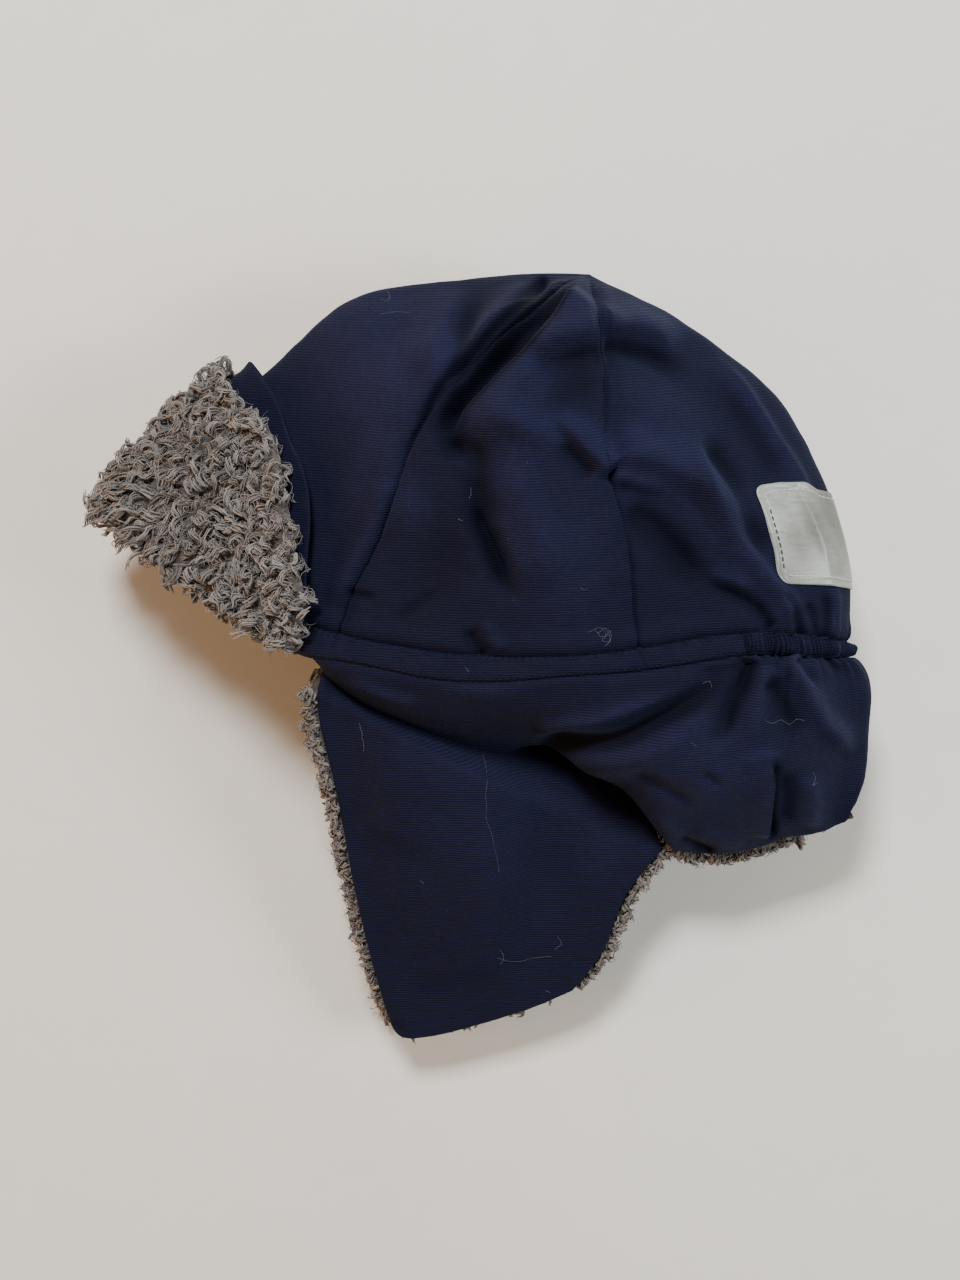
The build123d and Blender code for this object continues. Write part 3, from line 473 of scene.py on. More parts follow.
def normals(grid):
    du, dv = np.empty_like(grid), np.empty_like(grid)
    du[:, 1:-1] = grid[:, 2:] - grid[:, :-2]
    du[:, 0], du[:, -1] = grid[:, 1] - grid[:, 0], grid[:, -1] - grid[:, -2]
    dv[1:-1] = grid[2:] - grid[:-2]
    dv[0], dv[-1] = grid[1] - grid[0], grid[-1] - grid[-2]
    n = np.cross(du, dv)
    return n / np.maximum(np.linalg.norm(n, axis=2, keepdims=True), 1e-9)


def crown_normals(grid):
    """Unit normals that point out of the hat, with the apex, where columns meet, kept tidy."""
    n = normals(grid)
    mid = np.array([20.0, 60.0, 44.0])
    sign = np.sign(np.sum(n * (grid - mid), axis=2))
    n = n * (1 if np.median(sign) >= 0 else -1)
    tip = np.array([0.15, 0.99, 0.0])
    length = np.linalg.norm(grid[:, -1] - grid[:, 0], axis=1)
    k = smooth(length, 0.5, 3.0)[:, None, None]
    n = lerp(tip / np.linalg.norm(tip), n, k)
    return n / np.maximum(np.linalg.norm(n, axis=2, keepdims=True), 1e-9)


def steps(curve_points, params, spacing):
    """Parameters spaced along a curve by the local spacing (mm) at each distance."""
    d = run_of(curve_points)
    total, x, xs = d[-1], 0.0, [0.0]
    while True:
        h = spacing(x, total - x, np.interp(x, d, params))
        x += h
        if x >= total - 0.5 * h:
            break
        xs.append(x)
    xs.append(total)
    return np.interp(xs, d, params)


def row_runs(P):
    """For each point, the distance along its row from the first and from the last column."""
    seg = np.linalg.norm(np.diff(P, axis=1), axis=2)
    a = np.concatenate([np.zeros((len(P), 1)), np.cumsum(seg, 1)], 1)
    return a, a[:, -1:] - a


def col_runs(P):
    seg = np.linalg.norm(np.diff(P, axis=0), axis=2)
    a = np.concatenate([np.zeros((1, P.shape[1])), np.cumsum(seg, 0)], 0)
    return a, a[-1:] - a


# ---------------------------------------------------------------- meshes
def build(name, verts, faces, material, tint=None, uv=None):
    """A mesh object from points in mm and faces (an array of quads or triangles, or a list of such arrays)."""
    me = bpy.data.meshes.new(name)
    faces = faces if isinstance(faces, list) else [faces]
    faces = [np.asarray(f, np.int32) for f in faces if len(f)]
    verts = np.asarray(verts, np.float64) * MM
    me.vertices.add(len(verts))
    me.vertices.foreach_set("co", verts.astype(np.float32).ravel())
    loops = np.concatenate([f.ravel() for f in faces])
    sizes = np.concatenate([np.full(len(f), f.shape[1], np.int32) for f in faces])
    me.loops.add(len(loops))
    me.loops.foreach_set("vertex_index", loops)
    me.polygons.add(len(sizes))
    me.polygons.foreach_set("loop_start", np.r_[0, np.cumsum(sizes)[:-1]].astype(np.int32))
    me.polygons.foreach_set("use_smooth", np.ones(len(sizes), bool))
    tint = np.full(len(verts), 0.5) if tint is None else tint
    me.attributes.new("tint", "FLOAT", "POINT").data.foreach_set("value", np.asarray(tint, np.float32))
    me.update(calc_edges=True)
    me.validate()
    ob = bpy.data.objects.new(name, me)
    bpy.context.scene.collection.objects.link(ob)
    me.materials.append(material)
    return ob


def grid_faces(m, n, start=0, closed=False, flip=False):
    i, j = np.meshgrid(np.arange(m - 1), np.arange(n if closed else n - 1), indexing="ij")
    j2 = (j + 1) % n
    f = np.stack([i * n + j, i * n + j2, (i + 1) * n + j2, (i + 1) * n + j], -1).reshape(-1, 4) + start
    return f[:, ::-1] if flip else f


def turned_out(P, N, faces):
    """Turns quads so that they face along N."""
    v = P.reshape(-1, 3)
    f = faces
    fn = np.cross(v[f[:, 2]] - v[f[:, 0]], v[f[:, 3]] - v[f[:, 1]])
    s = np.sum(fn * N.reshape(-1, 3)[f[:, 0]], axis=1)
    return f[:, ::-1] if np.median(s) < 0 else f


def sheet_mesh(name, P, N, material):
    m, n = P.shape[:2]
    return build(name, P.reshape(-1, 3), turned_out(P, N, grid_faces(m, n)), material)


def slab_mesh(name, top, bottom, N, material, tint=None):
    """A closed skin between two grids that share their border's outline."""
    m, n = top.shape[:2]
    f = turned_out(top, N, grid_faces(m, n))
    back = f[:, ::-1] + m * n
    ring = np.r_[np.arange(n), np.arange(1, m) * n + n - 1, (m - 1) * n + np.arange(n - 2, -1, -1), np.arange(m - 2, 0, -1) * n]
    nxt = np.roll(ring, -1)
    rim = np.stack([ring, nxt, nxt + m * n, ring + m * n], 1)
    v = np.concatenate([top.reshape(-1, 3), bottom.reshape(-1, 3)])
    # the rim turns the same way as the faces that it meets
    first = f[0]
    edge_fwd = any(first[k] == ring[0] and first[(k + 1) % 4] == nxt[0] for k in range(4))
    if edge_fwd:
        rim = rim[:, ::-1]
    return build(name, v, np.concatenate([f, back, rim]), material, tint)


def paint_fold_shade_and_light(ob, folds, gain=1.0, broad=0.0):
    """Marks how far the folds raise each point where the cloth lies high: painted shade in the hollows, painted light
    on the ridges.
    """
    me = ob.data
    v = np.empty(len(me.vertices) * 3, np.float32)
    me.vertices.foreach_get("co", v)
    v = v.reshape(-1, 3).astype(float) / MM
    h, _ = fold_field(hat_to_sheet(v), folds, broad)
    up = smooth(v[:, 2], 14.0, 34.0)
    me.attributes["tint"].data.foreach_set("value", np.clip(0.5 + up * np.tanh(h * gain / 3.4) * 0.5, 0, 1).astype(np.float32))


def area_of(ob):
    return sum(p.area for p in ob.data.polygons)


# ---------------------------------------------------------------- materials
class Nodes:
    def __init__(self, name):
        self.mat = bpy.data.materials.new(name)
        self.mat.use_nodes = True
        self.t = self.mat.node_tree
        self.bsdf = self.t.nodes["Principled BSDF"]
        self.at = self.add("ShaderNodeTexCoord").outputs["Object"]

    def add(self, kind, **values):
        n = self.t.nodes.new(kind)
        for k, v in values.items():
            setattr(n, k, v)
        return n

    def link(self, a, b):
        self.t.links.new(a, b)
        return b

    def put(self, value, socket):
        if hasattr(value, "is_linked") or isinstance(value, bpy.types.NodeSocket):
            self.link(value, socket)
        else:
            socket.default_value = value

    def math(self, op, a, b=None, c=None, clamp=False):
        n = self.add("ShaderNodeMath", operation=op, use_clamp=clamp)
        for k, x in enumerate((a, b, c)):
            if x is not None:
                self.put(x, n.inputs[k])
        return n.outputs[0]

    def scaled(self, x, y, z):
        n = self.add("ShaderNodeMapping")
        self.link(self.at, n.inputs["Vector"])
        n.inputs["Scale"].default_value = (x, y, z)
        return n.outputs["Vector"]

    def noise(self, scale, detail=2.0, rough=0.5, vector=None, distortion=0.0):
        n = self.add("ShaderNodeTexNoise")
        self.link(vector if vector is not None else self.at, n.inputs["Vector"])
        n.inputs["Scale"].default_value = scale
        n.inputs["Detail"].default_value = detail
        n.inputs["Roughness"].default_value = rough
        n.inputs["Distortion"].default_value = distortion
        return n.outputs["Fac"]

    def ramp(self, fac, stops):
        n = self.add("ShaderNodeValToRGB")
        self.link(fac, n.inputs["Fac"])
        e = n.color_ramp.elements
        while len(e) < len(stops):
            e.new(0.5)
        for k, (p, c) in enumerate(stops):
            e[k].position = p
            e[k].color = (*c, 1.0)
        return n.outputs["Color"]

    def mix(self, fac, a, b, mode="MIX"):
        n = self.add("ShaderNodeMix", data_type="RGBA", blend_type=mode)
        self.put(fac, n.inputs["Factor"])
        self.put(a if hasattr(a, "links") or isinstance(a, bpy.types.NodeSocket) else (*a, 1.0), n.inputs["A"])
        self.put(b if hasattr(b, "links") or isinstance(b, bpy.types.NodeSocket) else (*b, 1.0), n.inputs["B"])
        return n.outputs["Result"]

    def bump(self, height, distance, strength=1.0, under=None):
        n = self.add("ShaderNodeBump")
        n.inputs["Strength"].default_value = strength
        n.inputs["Distance"].default_value = distance
        self.link(height, n.inputs["Height"])
        if under is not None:
            self.link(under, n.inputs["Normal"])
        return n.outputs["Normal"]

    def attribute(self, name):
        return self.add("ShaderNodeAttribute", attribute_name=name).outputs["Fac"]

    def finish(self, colour, rough, normal=None, **sockets):
        self.put(colour if isinstance(colour, bpy.types.NodeSocket) else (*colour, 1.0), self.bsdf.inputs["Base Color"])
        self.put(rough, self.bsdf.inputs["Roughness"])
        if normal is not None:
            self.link(normal, self.bsdf.inputs["Normal"])
        for k, v in sockets.items():
            self.bsdf.inputs[k.replace("_", " ")].default_value = v
        return self.mat


def srgb(r, g, b):
    return tuple(((c / 255) / 12.92 if c / 255 <= 0.04045 else ((c / 255 + 0.055) / 1.055) ** 2.4) for c in (r, g, b))


def navy_cloth(name, dark=(10, 11, 28), light=(22, 24, 50), rib=0.00092, worn=0.40):
    """Matt woven shell cloth: fine crosswise ribs and lengthwise yarns, uneven dye, a little lint and slightly worn.
    Painted shade darkens the grooves between the ribs and the fold hollows; painted light makes the rib tops and fold
    ridges paler."""
    n = Nodes(name)
    sep = n.add("ShaderNodeSeparateXYZ")
    n.link(n.at, sep.inputs[0])
    wander = n.noise(55, 2.0, 0.5)
    y = n.math("ADD", n.math("MULTIPLY", sep.outputs["Y"], 2 * math.pi / rib), n.math("MULTIPLY", wander, 6.5))
    z = n.math("MULTIPLY", sep.outputs["Z"], 2 * math.pi / rib * 0.22)
    ribs = n.math("MULTIPLY_ADD", n.math("SINE", n.math("ADD", y, z)), 0.5, 0.5)
    yarn = n.math("MULTIPLY_ADD", n.math("SINE", n.math("MULTIPLY_ADD", sep.outputs["X"], 2 * math.pi / (rib * 0.62), n.math("MULTIPLY", wander, 6.0))), 0.5, 0.5)
    slub = n.noise(1.0, 3.0, 0.6, n.scaled(160, 1500, 1500))
    grain = n.noise(2600, 2.0, 0.6)
    broad = n.noise(16, 3.0, 0.55)
    cloudy = n.noise(60, 3.0, 0.6)
    tone = n.math("ADD", n.math("MULTIPLY", broad, 0.55), n.math("MULTIPLY", cloudy, 0.45))
    base = n.ramp(tone, [(0.33, srgb(*dark)), (0.52, srgb(*[int((a * 1.25 + b * 0.75) / 2) for a, b in zip(dark, light)])), (0.72, srgb(*light))])
    # painted shade in the grooves between the ribs and painted light on the rib tops and slubs, following the ribs of
    # the bump below
    rib_light_and_shade = n.math("MULTIPLY_ADD", ribs, 0.62, n.math("MULTIPLY", n.math("MULTIPLY_ADD", slub, 2.2, -0.6, clamp=True), 0.38))
    base = n.mix(n.math("MULTIPLY", n.math("SUBTRACT", 1.0, rib_light_and_shade, clamp=True), 0.62), base, srgb(3, 3, 13))
    base = n.mix(n.math("MULTIPLY", rib_light_and_shade, 0.72), base, srgb(34, 37, 67))
    # a faint reddish cast where the warp shows
    base = n.mix(n.math("MULTIPLY", n.noise(38, 2.0, 0.5), 0.22), base, srgb(27, 18, 36))
    pill = n.math("GREATER_THAN", n.noise(900, 1.0, 0.4), 0.77)
    base = n.mix(n.math("MULTIPLY", pill, worn), base, srgb(52, 58, 84))
    # painted shade and painted light: the "tint" attribute, set from the fold heights, darkens the colour in fold
    # hollows to about a sixth and leaves it full on the ridges
    base = n.mix(1.0, base, n.ramp(n.attribute("tint"), [(0.0, (0.17, 0.18, 0.24)), (0.25, (0.34, 0.35, 0.40)), (0.5, (0.58, 0.59, 0.62)), (0.75, (0.88, 0.90, 0.92)), (1.0, (1.0, 1.0, 1.0))]), "MULTIPLY")
    height = n.math("ADD", n.math("MULTIPLY", ribs, 0.6), n.math("MULTIPLY", yarn, 0.16))
    height = n.math("ADD", height, n.math("MULTIPLY", slub, 0.5))
    soft = n.bump(n.noise(150, 3.0, 0.55), 0.0011, 0.35)
    fine = n.bump(n.math("ADD", height, n.math("MULTIPLY", grain, 0.35)), 0.00030, 0.85, soft)
    rough = n.math("MULTIPLY_ADD", n.noise(90, 2.0, 0.5), 0.20, 0.70)
    return n.finish(base, rough, fine, Sheen_Weight=0.05, Sheen_Roughness=0.5, Sheen_Tint=(0.35, 0.50, 1.0, 1.0), Specular_IOR_Level=0.10)


def pile(name, dark, mid, light, grain_scale=2200, sheen=0.35):
    """Curly pile: colour runs from the dark root to the pale tip, painted shade deep in the pile, and each lock
    differs.
    """
    n = Nodes(name)
    t = n.attribute("tint")
    speck = n.noise(grain_scale, 2.0, 0.65)
    patch = n.noise(42, 2.0, 0.5)
    f = n.math("ADD", n.math("MULTIPLY", t, 0.74), n.math("ADD", n.math("MULTIPLY", speck, 0.22), n.math("MULTIPLY", patch, 0.16)))
    base = n.ramp(f, [(0.10, srgb(*dark)), (0.52, srgb(*mid)), (0.95, srgb(*light))])
    warm = n.mix(n.math("MULTIPLY", n.noise(70, 1.0, 0.5), 0.30), base, srgb(92, 84, 79))
    fibre = n.noise(1.0, 2.0, 0.7, n.scaled(3200, 3200, 3200))
    normal = n.bump(fibre, 0.00030, 0.75)
    return n.finish(warm, 0.92, normal, Sheen_Weight=sheen, Sheen_Roughness=0.6, Sheen_Tint=(0.93, 0.90, 0.88, 1.0), Specular_IOR_Level=0.15)


def backing(name, dark, light):
    """The knitted backing and the matted base of the pile."""
    n = Nodes(name)
    base = n.ramp(n.math("ADD", n.math("MULTIPLY", n.noise(420, 3.0, 0.65), 0.6), n.math("MULTIPLY", n.noise(60, 2.0, 0.5), 0.4)), [(0.32, srgb(*dark)), (0.70, srgb(*light))])
    v = n.add("ShaderNodeTexVoronoi", feature="SMOOTH_F1")
    n.link(n.at, v.inputs["Vector"])
    v.inputs["Scale"].default_value = 520
    a = n.bump(v.outputs["Distance"], 0.0012, 0.8)
    b = n.bump(n.noise(1900, 3.0, 0.7), 0.0004, 0.6, a)
    return n.finish(base, 0.95, b, Sheen_Weight=0.3, Sheen_Roughness=0.6, Sheen_Tint=(0.9, 0.88, 0.86, 1.0), Specular_IOR_Level=0.12)


def reflective(name):
    """Grey retroreflective tape: glass-bead grain, faint scuffs and soft creases."""
    n = Nodes(name)
    bead = n.noise(5200, 1.0, 0.5)
    scuff = n.noise(1.0, 4.0, 0.6, n.scaled(120, 900, 500))
    broad = n.noise(34, 2.0, 0.5)
    base = n.ramp(n.math("ADD", n.math("MULTIPLY", broad, 0.6), n.math("ADD", n.math("MULTIPLY", scuff, 0.25), n.math("MULTIPLY", bead, 0.15))), [(0.34, srgb(104, 104, 98)), (0.50, srgb(133, 134, 127)), (0.64, srgb(163, 166, 158))])
    a = n.bump(n.noise(160, 3.0, 0.5), 0.0009, 0.30)
    b = n.bump(bead, 0.00004, 0.5, a)
    rough = n.math("MULTIPLY_ADD", scuff, 0.25, 0.34)
    return n.finish(base, rough, b, Metallic=0.25, Specular_IOR_Level=0.5)


def thread(name, dark, light, rough=0.6):
    n = Nodes(name)
    base = n.ramp(n.noise(1400, 2.0, 0.5), [(0.3, srgb(*dark)), (0.7, srgb(*light))])
    ply = n.noise(1.0, 1.0, 0.5, n.scaled(2600, 2600, 2600))
    return n.finish(base, rough, n.bump(ply, 0.0002, 0.6), Sheen_Weight=0.04, Sheen_Roughness=0.4, Specular_IOR_Level=0.15)


NAVY = navy_cloth("navy_shell_cloth")
NAVY_BAND = navy_cloth("navy_casing_cloth", dark=(11, 12, 29), light=(23, 25, 50), rib=0.00090)
PILE_VISOR = pile("visor_pile_locks", (26, 22, 20), (86, 79, 74), (144, 137, 132))
PILE_LINING = pile("lining_pile_locks", (27, 23, 20), (82, 73, 67), (138, 128, 120))
BACKING = backing("pile_backing", (44, 38, 34), (88, 80, 75))
TAPE = reflective("reflective_tape")
NAVY_THREAD = thread("navy_sewing_thread", (8, 10, 22), (18, 22, 40))
PALE_THREAD = thread("pale_sewing_thread", (168, 168, 160), (206, 206, 198))
EDGE_THREAD = thread("grey_sewing_thread", (52, 53, 54), (84, 86, 84))
ELASTIC = thread("elastic_weave", (20, 22, 34), (44, 48, 62), 0.75)
LINT = thread("lint_fibre", (62, 68, 88), (102, 108, 126), 0.8)


# ---------------------------------------------------------------- crown
UP, DOWN = 0.85, 2.8
TH_A, TH_B, TH_E = theta_of(S_SEAM_A), theta_of(S_SEAM_B), theta_of(S_ELASTIC)
TH_T, TH_V = theta_of(S_TEMPLE), theta_of(S_VISOR)
RUN_T = np.linspace(-math.pi, 2 * math.pi, 2400)
RUN_R = run_of(crown(RUN_T, [0.0])[0])


def round_run(theta):
    """Distance round the casing's stitch line."""
    return np.interp(theta, RUN_T, RUN_R)


def columns(t0, t1, v=0.38, up=UP, down=DOWN, edge=0.32):
    tt = np.linspace(t0, t1, 1600)
    pts = crown(tt, [v])[0]
    return steps(pts, tt, lambda x, rest, th: float(np.clip(edge + 0.13 * min(x, rest), edge, up if math.sin(th) > -0.16 else down)))


def seam_profile(d, at):
    """A sewn seam: a narrow groove, the dip round it, and padding that swells beside it."""
    pucker = 0.34 * noise(at / 3.1, d * 0 + 3, 5) * np.exp(-(d / 3.4) ** 2)
    return -1.15 * np.exp(-(d / 0.85) ** 2) - 0.75 * np.exp(-(d / 3.0) ** 2) + 0.55 * np.exp(-((d - 5.5) / 3.6) ** 2) + pucker


def scallops(r):
    """Where along the stitch line each stitch pulls in: 1 between stitches, 0 at one."""
    x = r / 2.45 + 0.18 * noise(r / 9.0, 0 * r, 71)
    return np.abs(np.sin(math.pi * x)) ** 0.7


def gathers(r, seed=0):
    """Uneven ribs of gathered cloth, about 1.6 mm apart."""
    x = r / 1.75 + 0.55 * noise(r / 5.0, 0 * r, 80 + seed) + 0.25 * noise(r / 2.2, 0 * r, 90 + seed)
    a = np.abs(np.sin(math.pi * x)) ** 0.8
    return (a * 2 - 1) * (0.75 + 0.35 * noise(r / 3.0, 0 * r, 99 + seed))


def cloth_noise(P, scale=1.0):
    x, y = P[..., 0] + 0.35 * P[..., 2], P[..., 1] - 0.2 * P[..., 2]
    return scale * (0.42 * fractal(x / 26, y / 22, 3, 2) + 0.16 * noise(x / 8.5, y / 7.0, 9) + 0.06 * noise(x / 3.4, y / 3.0, 12))


_tt = np.linspace(0, 1.0, 900)
ROWS = steps(crown([math.pi / 2], _tt)[:, 0], _tt, lambda x, rest, v: float(np.clip(0.35 + 0.10 * x, 0.35, UP)))
ROWS = np.r_[-0.30, -0.15, -0.05, ROWS[:-1], 0.9985]


def crown_surface(theta, rows, seam_left=True, seam_right=True, puff=0.0):
    """Grid of the finished outer cloth and its outward normals."""
    base = crown(theta, rows)
    n = crown_normals(base)
    r = round_run(theta)[None, :]
    below = rows < 0
    k0 = int(np.argmax(rows >= 0))
    dn = col_runs(base)[0]
    db = np.abs(dn - dn[k0:k0 + 1])
    db = np.where(below[:, None], 0.0, db)
    dl, dr = row_runs(base)
    off = cloth_noise(base)
    if seam_left:
        off = off + seam_profile(dl, db)
    if seam_right:
        off = off + seam_profile(dr, db + 40)
    s = share(theta)[None, :]
    plain = 0.45 * (scallops(r) - 0.6) * np.exp(-(db / 2.6))
    slow = 0.30 * noise(r / 6.0, db / 18.0, 31) * np.exp(-(db / 9.0))
    back = smooth(s, S_ELASTIC - 0.035, S_ELASTIC + 0.02)
    g = 1.15 * gathers(r / 2.6, 4) * np.exp(-(db / 6.5)) + 0.8 * gathers(r / 1.2, 6) * np.exp(-(db / 2.2))
    off = off - 1.25 * np.exp(-(db / 1.4) ** 2) + 0.85 * np.exp(-((db - 4.5) / 3.2) ** 2)
    off = off + lerp(plain + slow, g * 0.9, back)
    off = np.where(below[:, None], -1.5, off)
    # the columns meet at the apex, where the seams are pulled in
    tip = smooth(rows, 0.90, 0.995)[:, None]
    off = off * (1 - tip) - 0.8 * tip
    P = base + n * (off + puff)[..., None]
    P = sculpt(P, n, CROWN_FOLDS, 1.3, 0.5)
    P[..., 2] = np.maximum(P[..., 2], 0.25)
    return P, n


def allow(P, n, left=True, right=True, depth=2.4):
    """Adds the seam allowance: the panel's edge turns in along the seam."""
    cols, ns = [P], [n]
    if left:
        cols.insert(0, P[:, :1] - n[:, :1] * depth)
        ns.insert(0, n[:, :1])
    if right:
        cols.append(P[:, -1:] - n[:, -1:] * depth)
        ns.append(n[:, -1:])
    return np.concatenate(cols, 1), np.concatenate(ns, 1)


GRIDS = {}


def panel(name, t0, t1, node):
    theta = columns(t0, t1)
    P, n = crown_surface(theta, ROWS)
    GRIDS[name] = (theta, P, n)
    P, n = allow(P, n)
    ob = sheet_mesh(name, P, n, NAVY)
    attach(ob, "hat")
    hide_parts(node)
    return ob


TWO_PI = 2 * math.pi


def lens(e, R):
    """Half-thickness profile of a rolled edge, from 0 on the edge to 1."""
    return np.sqrt(np.clip(1 - (1 - np.clip(e / R, 0, 1)) ** 2, 0, 1))


def edged(n_total, fine, coarse, grow=0.16):
    """Positions from 0 to n_total mm, fine at both ends."""
    xs, x = [0.0], 0.0
    while True:
        h = float(np.clip(fine + grow * min(x, n_total - x), fine, coarse))
        x += h
        if x >= n_total - 0.5 * h:
            break
        xs.append(x)
    return np.array(xs + [n_total]) / n_total


front_panel = panel("front_panel", -TH_A, TH_A, "crown_front_panel")
side_left = panel("side_panel_left", TH_A, TH_B, "crown_side_panel_left")
back_panel = panel("back_panel", TH_B, TWO_PI - TH_B, "crown_back_panel")
# painted shade in these panels' fold hollows, painted light on their ridges
for _o in (front_panel, side_left, back_panel):
    paint_fold_shade_and_light(_o, CROWN_FOLDS, 1.3, 0.5)
side_right = panel("side_panel_right", TWO_PI - TH_B, TWO_PI - TH_A, "crown_side_panel_right")


# ---------------------------------------------------------------- reflective patch over the back fold
PATCH_TOP = [(0.880, 0.352), (0.923, 0.350), (0.954, 0.340), (0.975, 0.322), (1.0, 0.312)]
PATCH_LOW = [(0.880, 0.118), (0.923, 0.115), (0.964, 0.114), (1.0, 0.110)]
PATCH_H = 31.0          # height in mm, for its rounded corners


def on_back(theta, v):
    """The back panel's surface and normal at scattered places."""
    T, P, N = GRIDS["back_panel"]
    a = np.interp(theta, T, np.arange(len(T)))
    b = np.interp(v, ROWS, np.arange(len(ROWS)))
    j, i = np.clip(a.astype(int), 0, len(T) - 2), np.clip(b.astype(int), 0, len(ROWS) - 2)
    fa, fb = (a - j)[..., None], (b - i)[..., None]
    g = lambda G: lerp(lerp(G[i, j], G[i, j + 1], fa), lerp(G[i + 1, j], G[i + 1, j + 1], fa), fb)
    n = g(N)
    return g(P), n / np.linalg.norm(n, axis=-1, keepdims=True)


def patch_point(t, p, inset=0.0):
    """t from the lower to the upper edge, p from the upper side's end (0) over the fold
    (0.5) to the lower side's end (1)."""
    d = t * PATCH_H
    corner = lambda d, R: R - np.sqrt(np.clip(R * R - (R - np.clip(d, 0, R)) ** 2, 0, None))
    cut = corner(d, 4.2) + corner(PATCH_H - d, 3.4) + inset
    s_end = 0.8815 + cut * 0.0041 + 0.003 * (1 - t)
    th_end = np.arccos(1 - 2 * s_end)
    theta = lerp(th_end, TWO_PI - th_end, p)
    s = share(theta)
    top, low = np.interp(s, *np.array(PATCH_TOP).T), np.interp(s, *np.array(PATCH_LOW).T)
    return theta, lerp(low, top, t)


PATCH_T = edged(PATCH_H, 0.22, 0.8)
PATCH_Q = edged(112.0, 0.22, 0.8)
_T, _Pp = np.meshgrid(PATCH_T, PATCH_Q, indexing="ij")
_th, _vv = patch_point(_T, _Pp)
PATCH_P, PATCH_N = on_back(_th, _vv)
_S = PATCH_P.copy()
for _k in range(14):      # tape is stiffer than the cloth that it is sewn to
    _S[1:-1, 1:-1] = (_S[1:-1, 1:-1] * 2 + _S[:-2, 1:-1] + _S[2:, 1:-1] + _S[1:-1, :-2] + _S[1:-1, 2:]) / 6
_gap = np.sum((_S - PATCH_P) * PATCH_N, axis=2)
_S = _S + PATCH_N * (np.maximum(_gap, -0.15) - _gap)[..., None]
_a, _b = row_runs(_S)
_c, _d = col_runs(_S)
_e = np.minimum(np.minimum(_a, _b), np.minimum(_c, _d))
_f = lens(_e, 0.45)
_sew = -0.30 * np.exp(-((_e - 2.3) / 0.55) ** 2)
_top = _S + PATCH_N * (0.42 + 0.38 * _f + _sew)[..., None]
_bot = _S + PATCH_N * (0.42 - 0.30 * _f)[..., None]
_bot[..., 2], _top[..., 2] = np.maximum(_bot[..., 2], 0.3), np.maximum(_top[..., 2], 0.3)
_x = _Pp * 112.0 - lerp(17.0, 24.5, 1 - _T)
_crease = (0.9 * np.exp(-np.abs(_x + 1.2) / 4.5) - 0.40 * np.exp(-((_x - 3.0) / 3.4) ** 2)) * _f
_top = _top + PATCH_N * _crease[..., None]
_bot = _bot + PATCH_N * np.minimum(_crease, 0)[..., None]
PATCH_UP = _top
patch = slab_mesh("reflective_tape_patch", _top, _bot, PATCH_N, TAPE)
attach(patch, "hat"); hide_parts("reflective_patch")


def patch_at(t, p, inset):
    """A point on the finished patch, by bilinear reading of its top."""
    i = np.interp(t, PATCH_T, np.arange(len(PATCH_T)))
    j = np.interp(p, PATCH_Q, np.arange(len(PATCH_Q)))
    i0, j0 = np.clip(i.astype(int), 0, len(PATCH_T) - 2), np.clip(j.astype(int), 0, len(PATCH_Q) - 2)
    fi, fj = (i - i0)[:, None], (j - j0)[:, None]
    g = lambda G: lerp(lerp(G[i0, j0], G[i0, j0 + 1], fj), lerp(G[i0 + 1, j0], G[i0 + 1, j0 + 1], fj), fi)
    return g(PATCH_UP), g(PATCH_N)


# ---------------------------------------------------------------- casing round the head opening
def band_surface(theta, q, gathered):
    """The casing: q is 0 at its upper stitched edge and 1 at its lower seam."""
    r = round_run(theta)[None, :]
    qq = q[:, None] + 0 * r
    sc = scallops(r)
    edge = np.exp(-(np.clip(qq, 0, 1) / 0.10))
    v = -(qq - 0.050 * (sc - 0.5) * edge)
    s = share(theta)
    back = smooth(s, S_ELASTIC - 0.03, S_ELASTIC + 0.02)[None, :]
    if gathered:
        v = v + 0.10 * noise(r / 3.0, qq * 0, 41) * (0.3 + edge)
    base = np.zeros((len(q), len(theta), 3))
    lo, hi = crown(theta, [0.0])[0], crown(theta, [-1.0])[0]
    base = lerp(lo[None], hi[None], -v[..., None])
    n0 = crown_normals(crown(theta, [-1.0, -0.5, 0.0, 0.05]))[1]
    n = np.repeat(n0[None], len(q), 0)
    n /= np.linalg.norm(n, axis=2, keepdims=True)
    h = np.interp(qq, [-0.10, -0.02, 0.03, 0.09, 0.18, 0.5, 0.82, 0.93, 0.985, 1.06], [-1.6, -0.7, 0.85, 1.30, 1.15, 1.25, 1.10, 0.85, -0.35, -1.5])
    # each stitch presses the upper edge in; the cloth swells between them
    h = h - 0.75 * (1 - sc) * np.exp(-((qq - 0.10) / 0.075) ** 2)
    h = h - 0.30 * (1 - sc) * np.exp(-((qq - 0.93) / 0.06) ** 2)
    h = h + 0.22 * noise(r / 4.2, qq * 1.6, 44) + 0.14 * noise(r / 1.6, qq * 3, 45) + 0.35 * noise(r / 15, qq * 0.8, 46)
    window = smooth(qq, -0.02, 0.10) * (1 - smooth(qq, 0.90, 1.02))
    if gathered:
        tilt = r + 0.9 * (qq - 0.5) + 0.5 * noise(r / 4, qq * 2.5, 47)
        h = h + (1.25 * gathers(tilt, 1) + 0.45 * noise(r / 3.3, qq * 2, 48)) * (0.35 + 0.65 * window)
        h = h + 0.9 * np.sin(math.pi * np.clip(qq, 0, 1)) ** 0.7
    else:
        h = h + back * 0.55 * gathers(r, 1) * window
    P = base + n * h[..., None]
    if not gathered and P[..., 2].mean() > 30:
        P = sculpt(P, n, CASING_FOLDS)
    P[..., 2] = np.maximum(P[..., 2], 0.12)
    return P, n


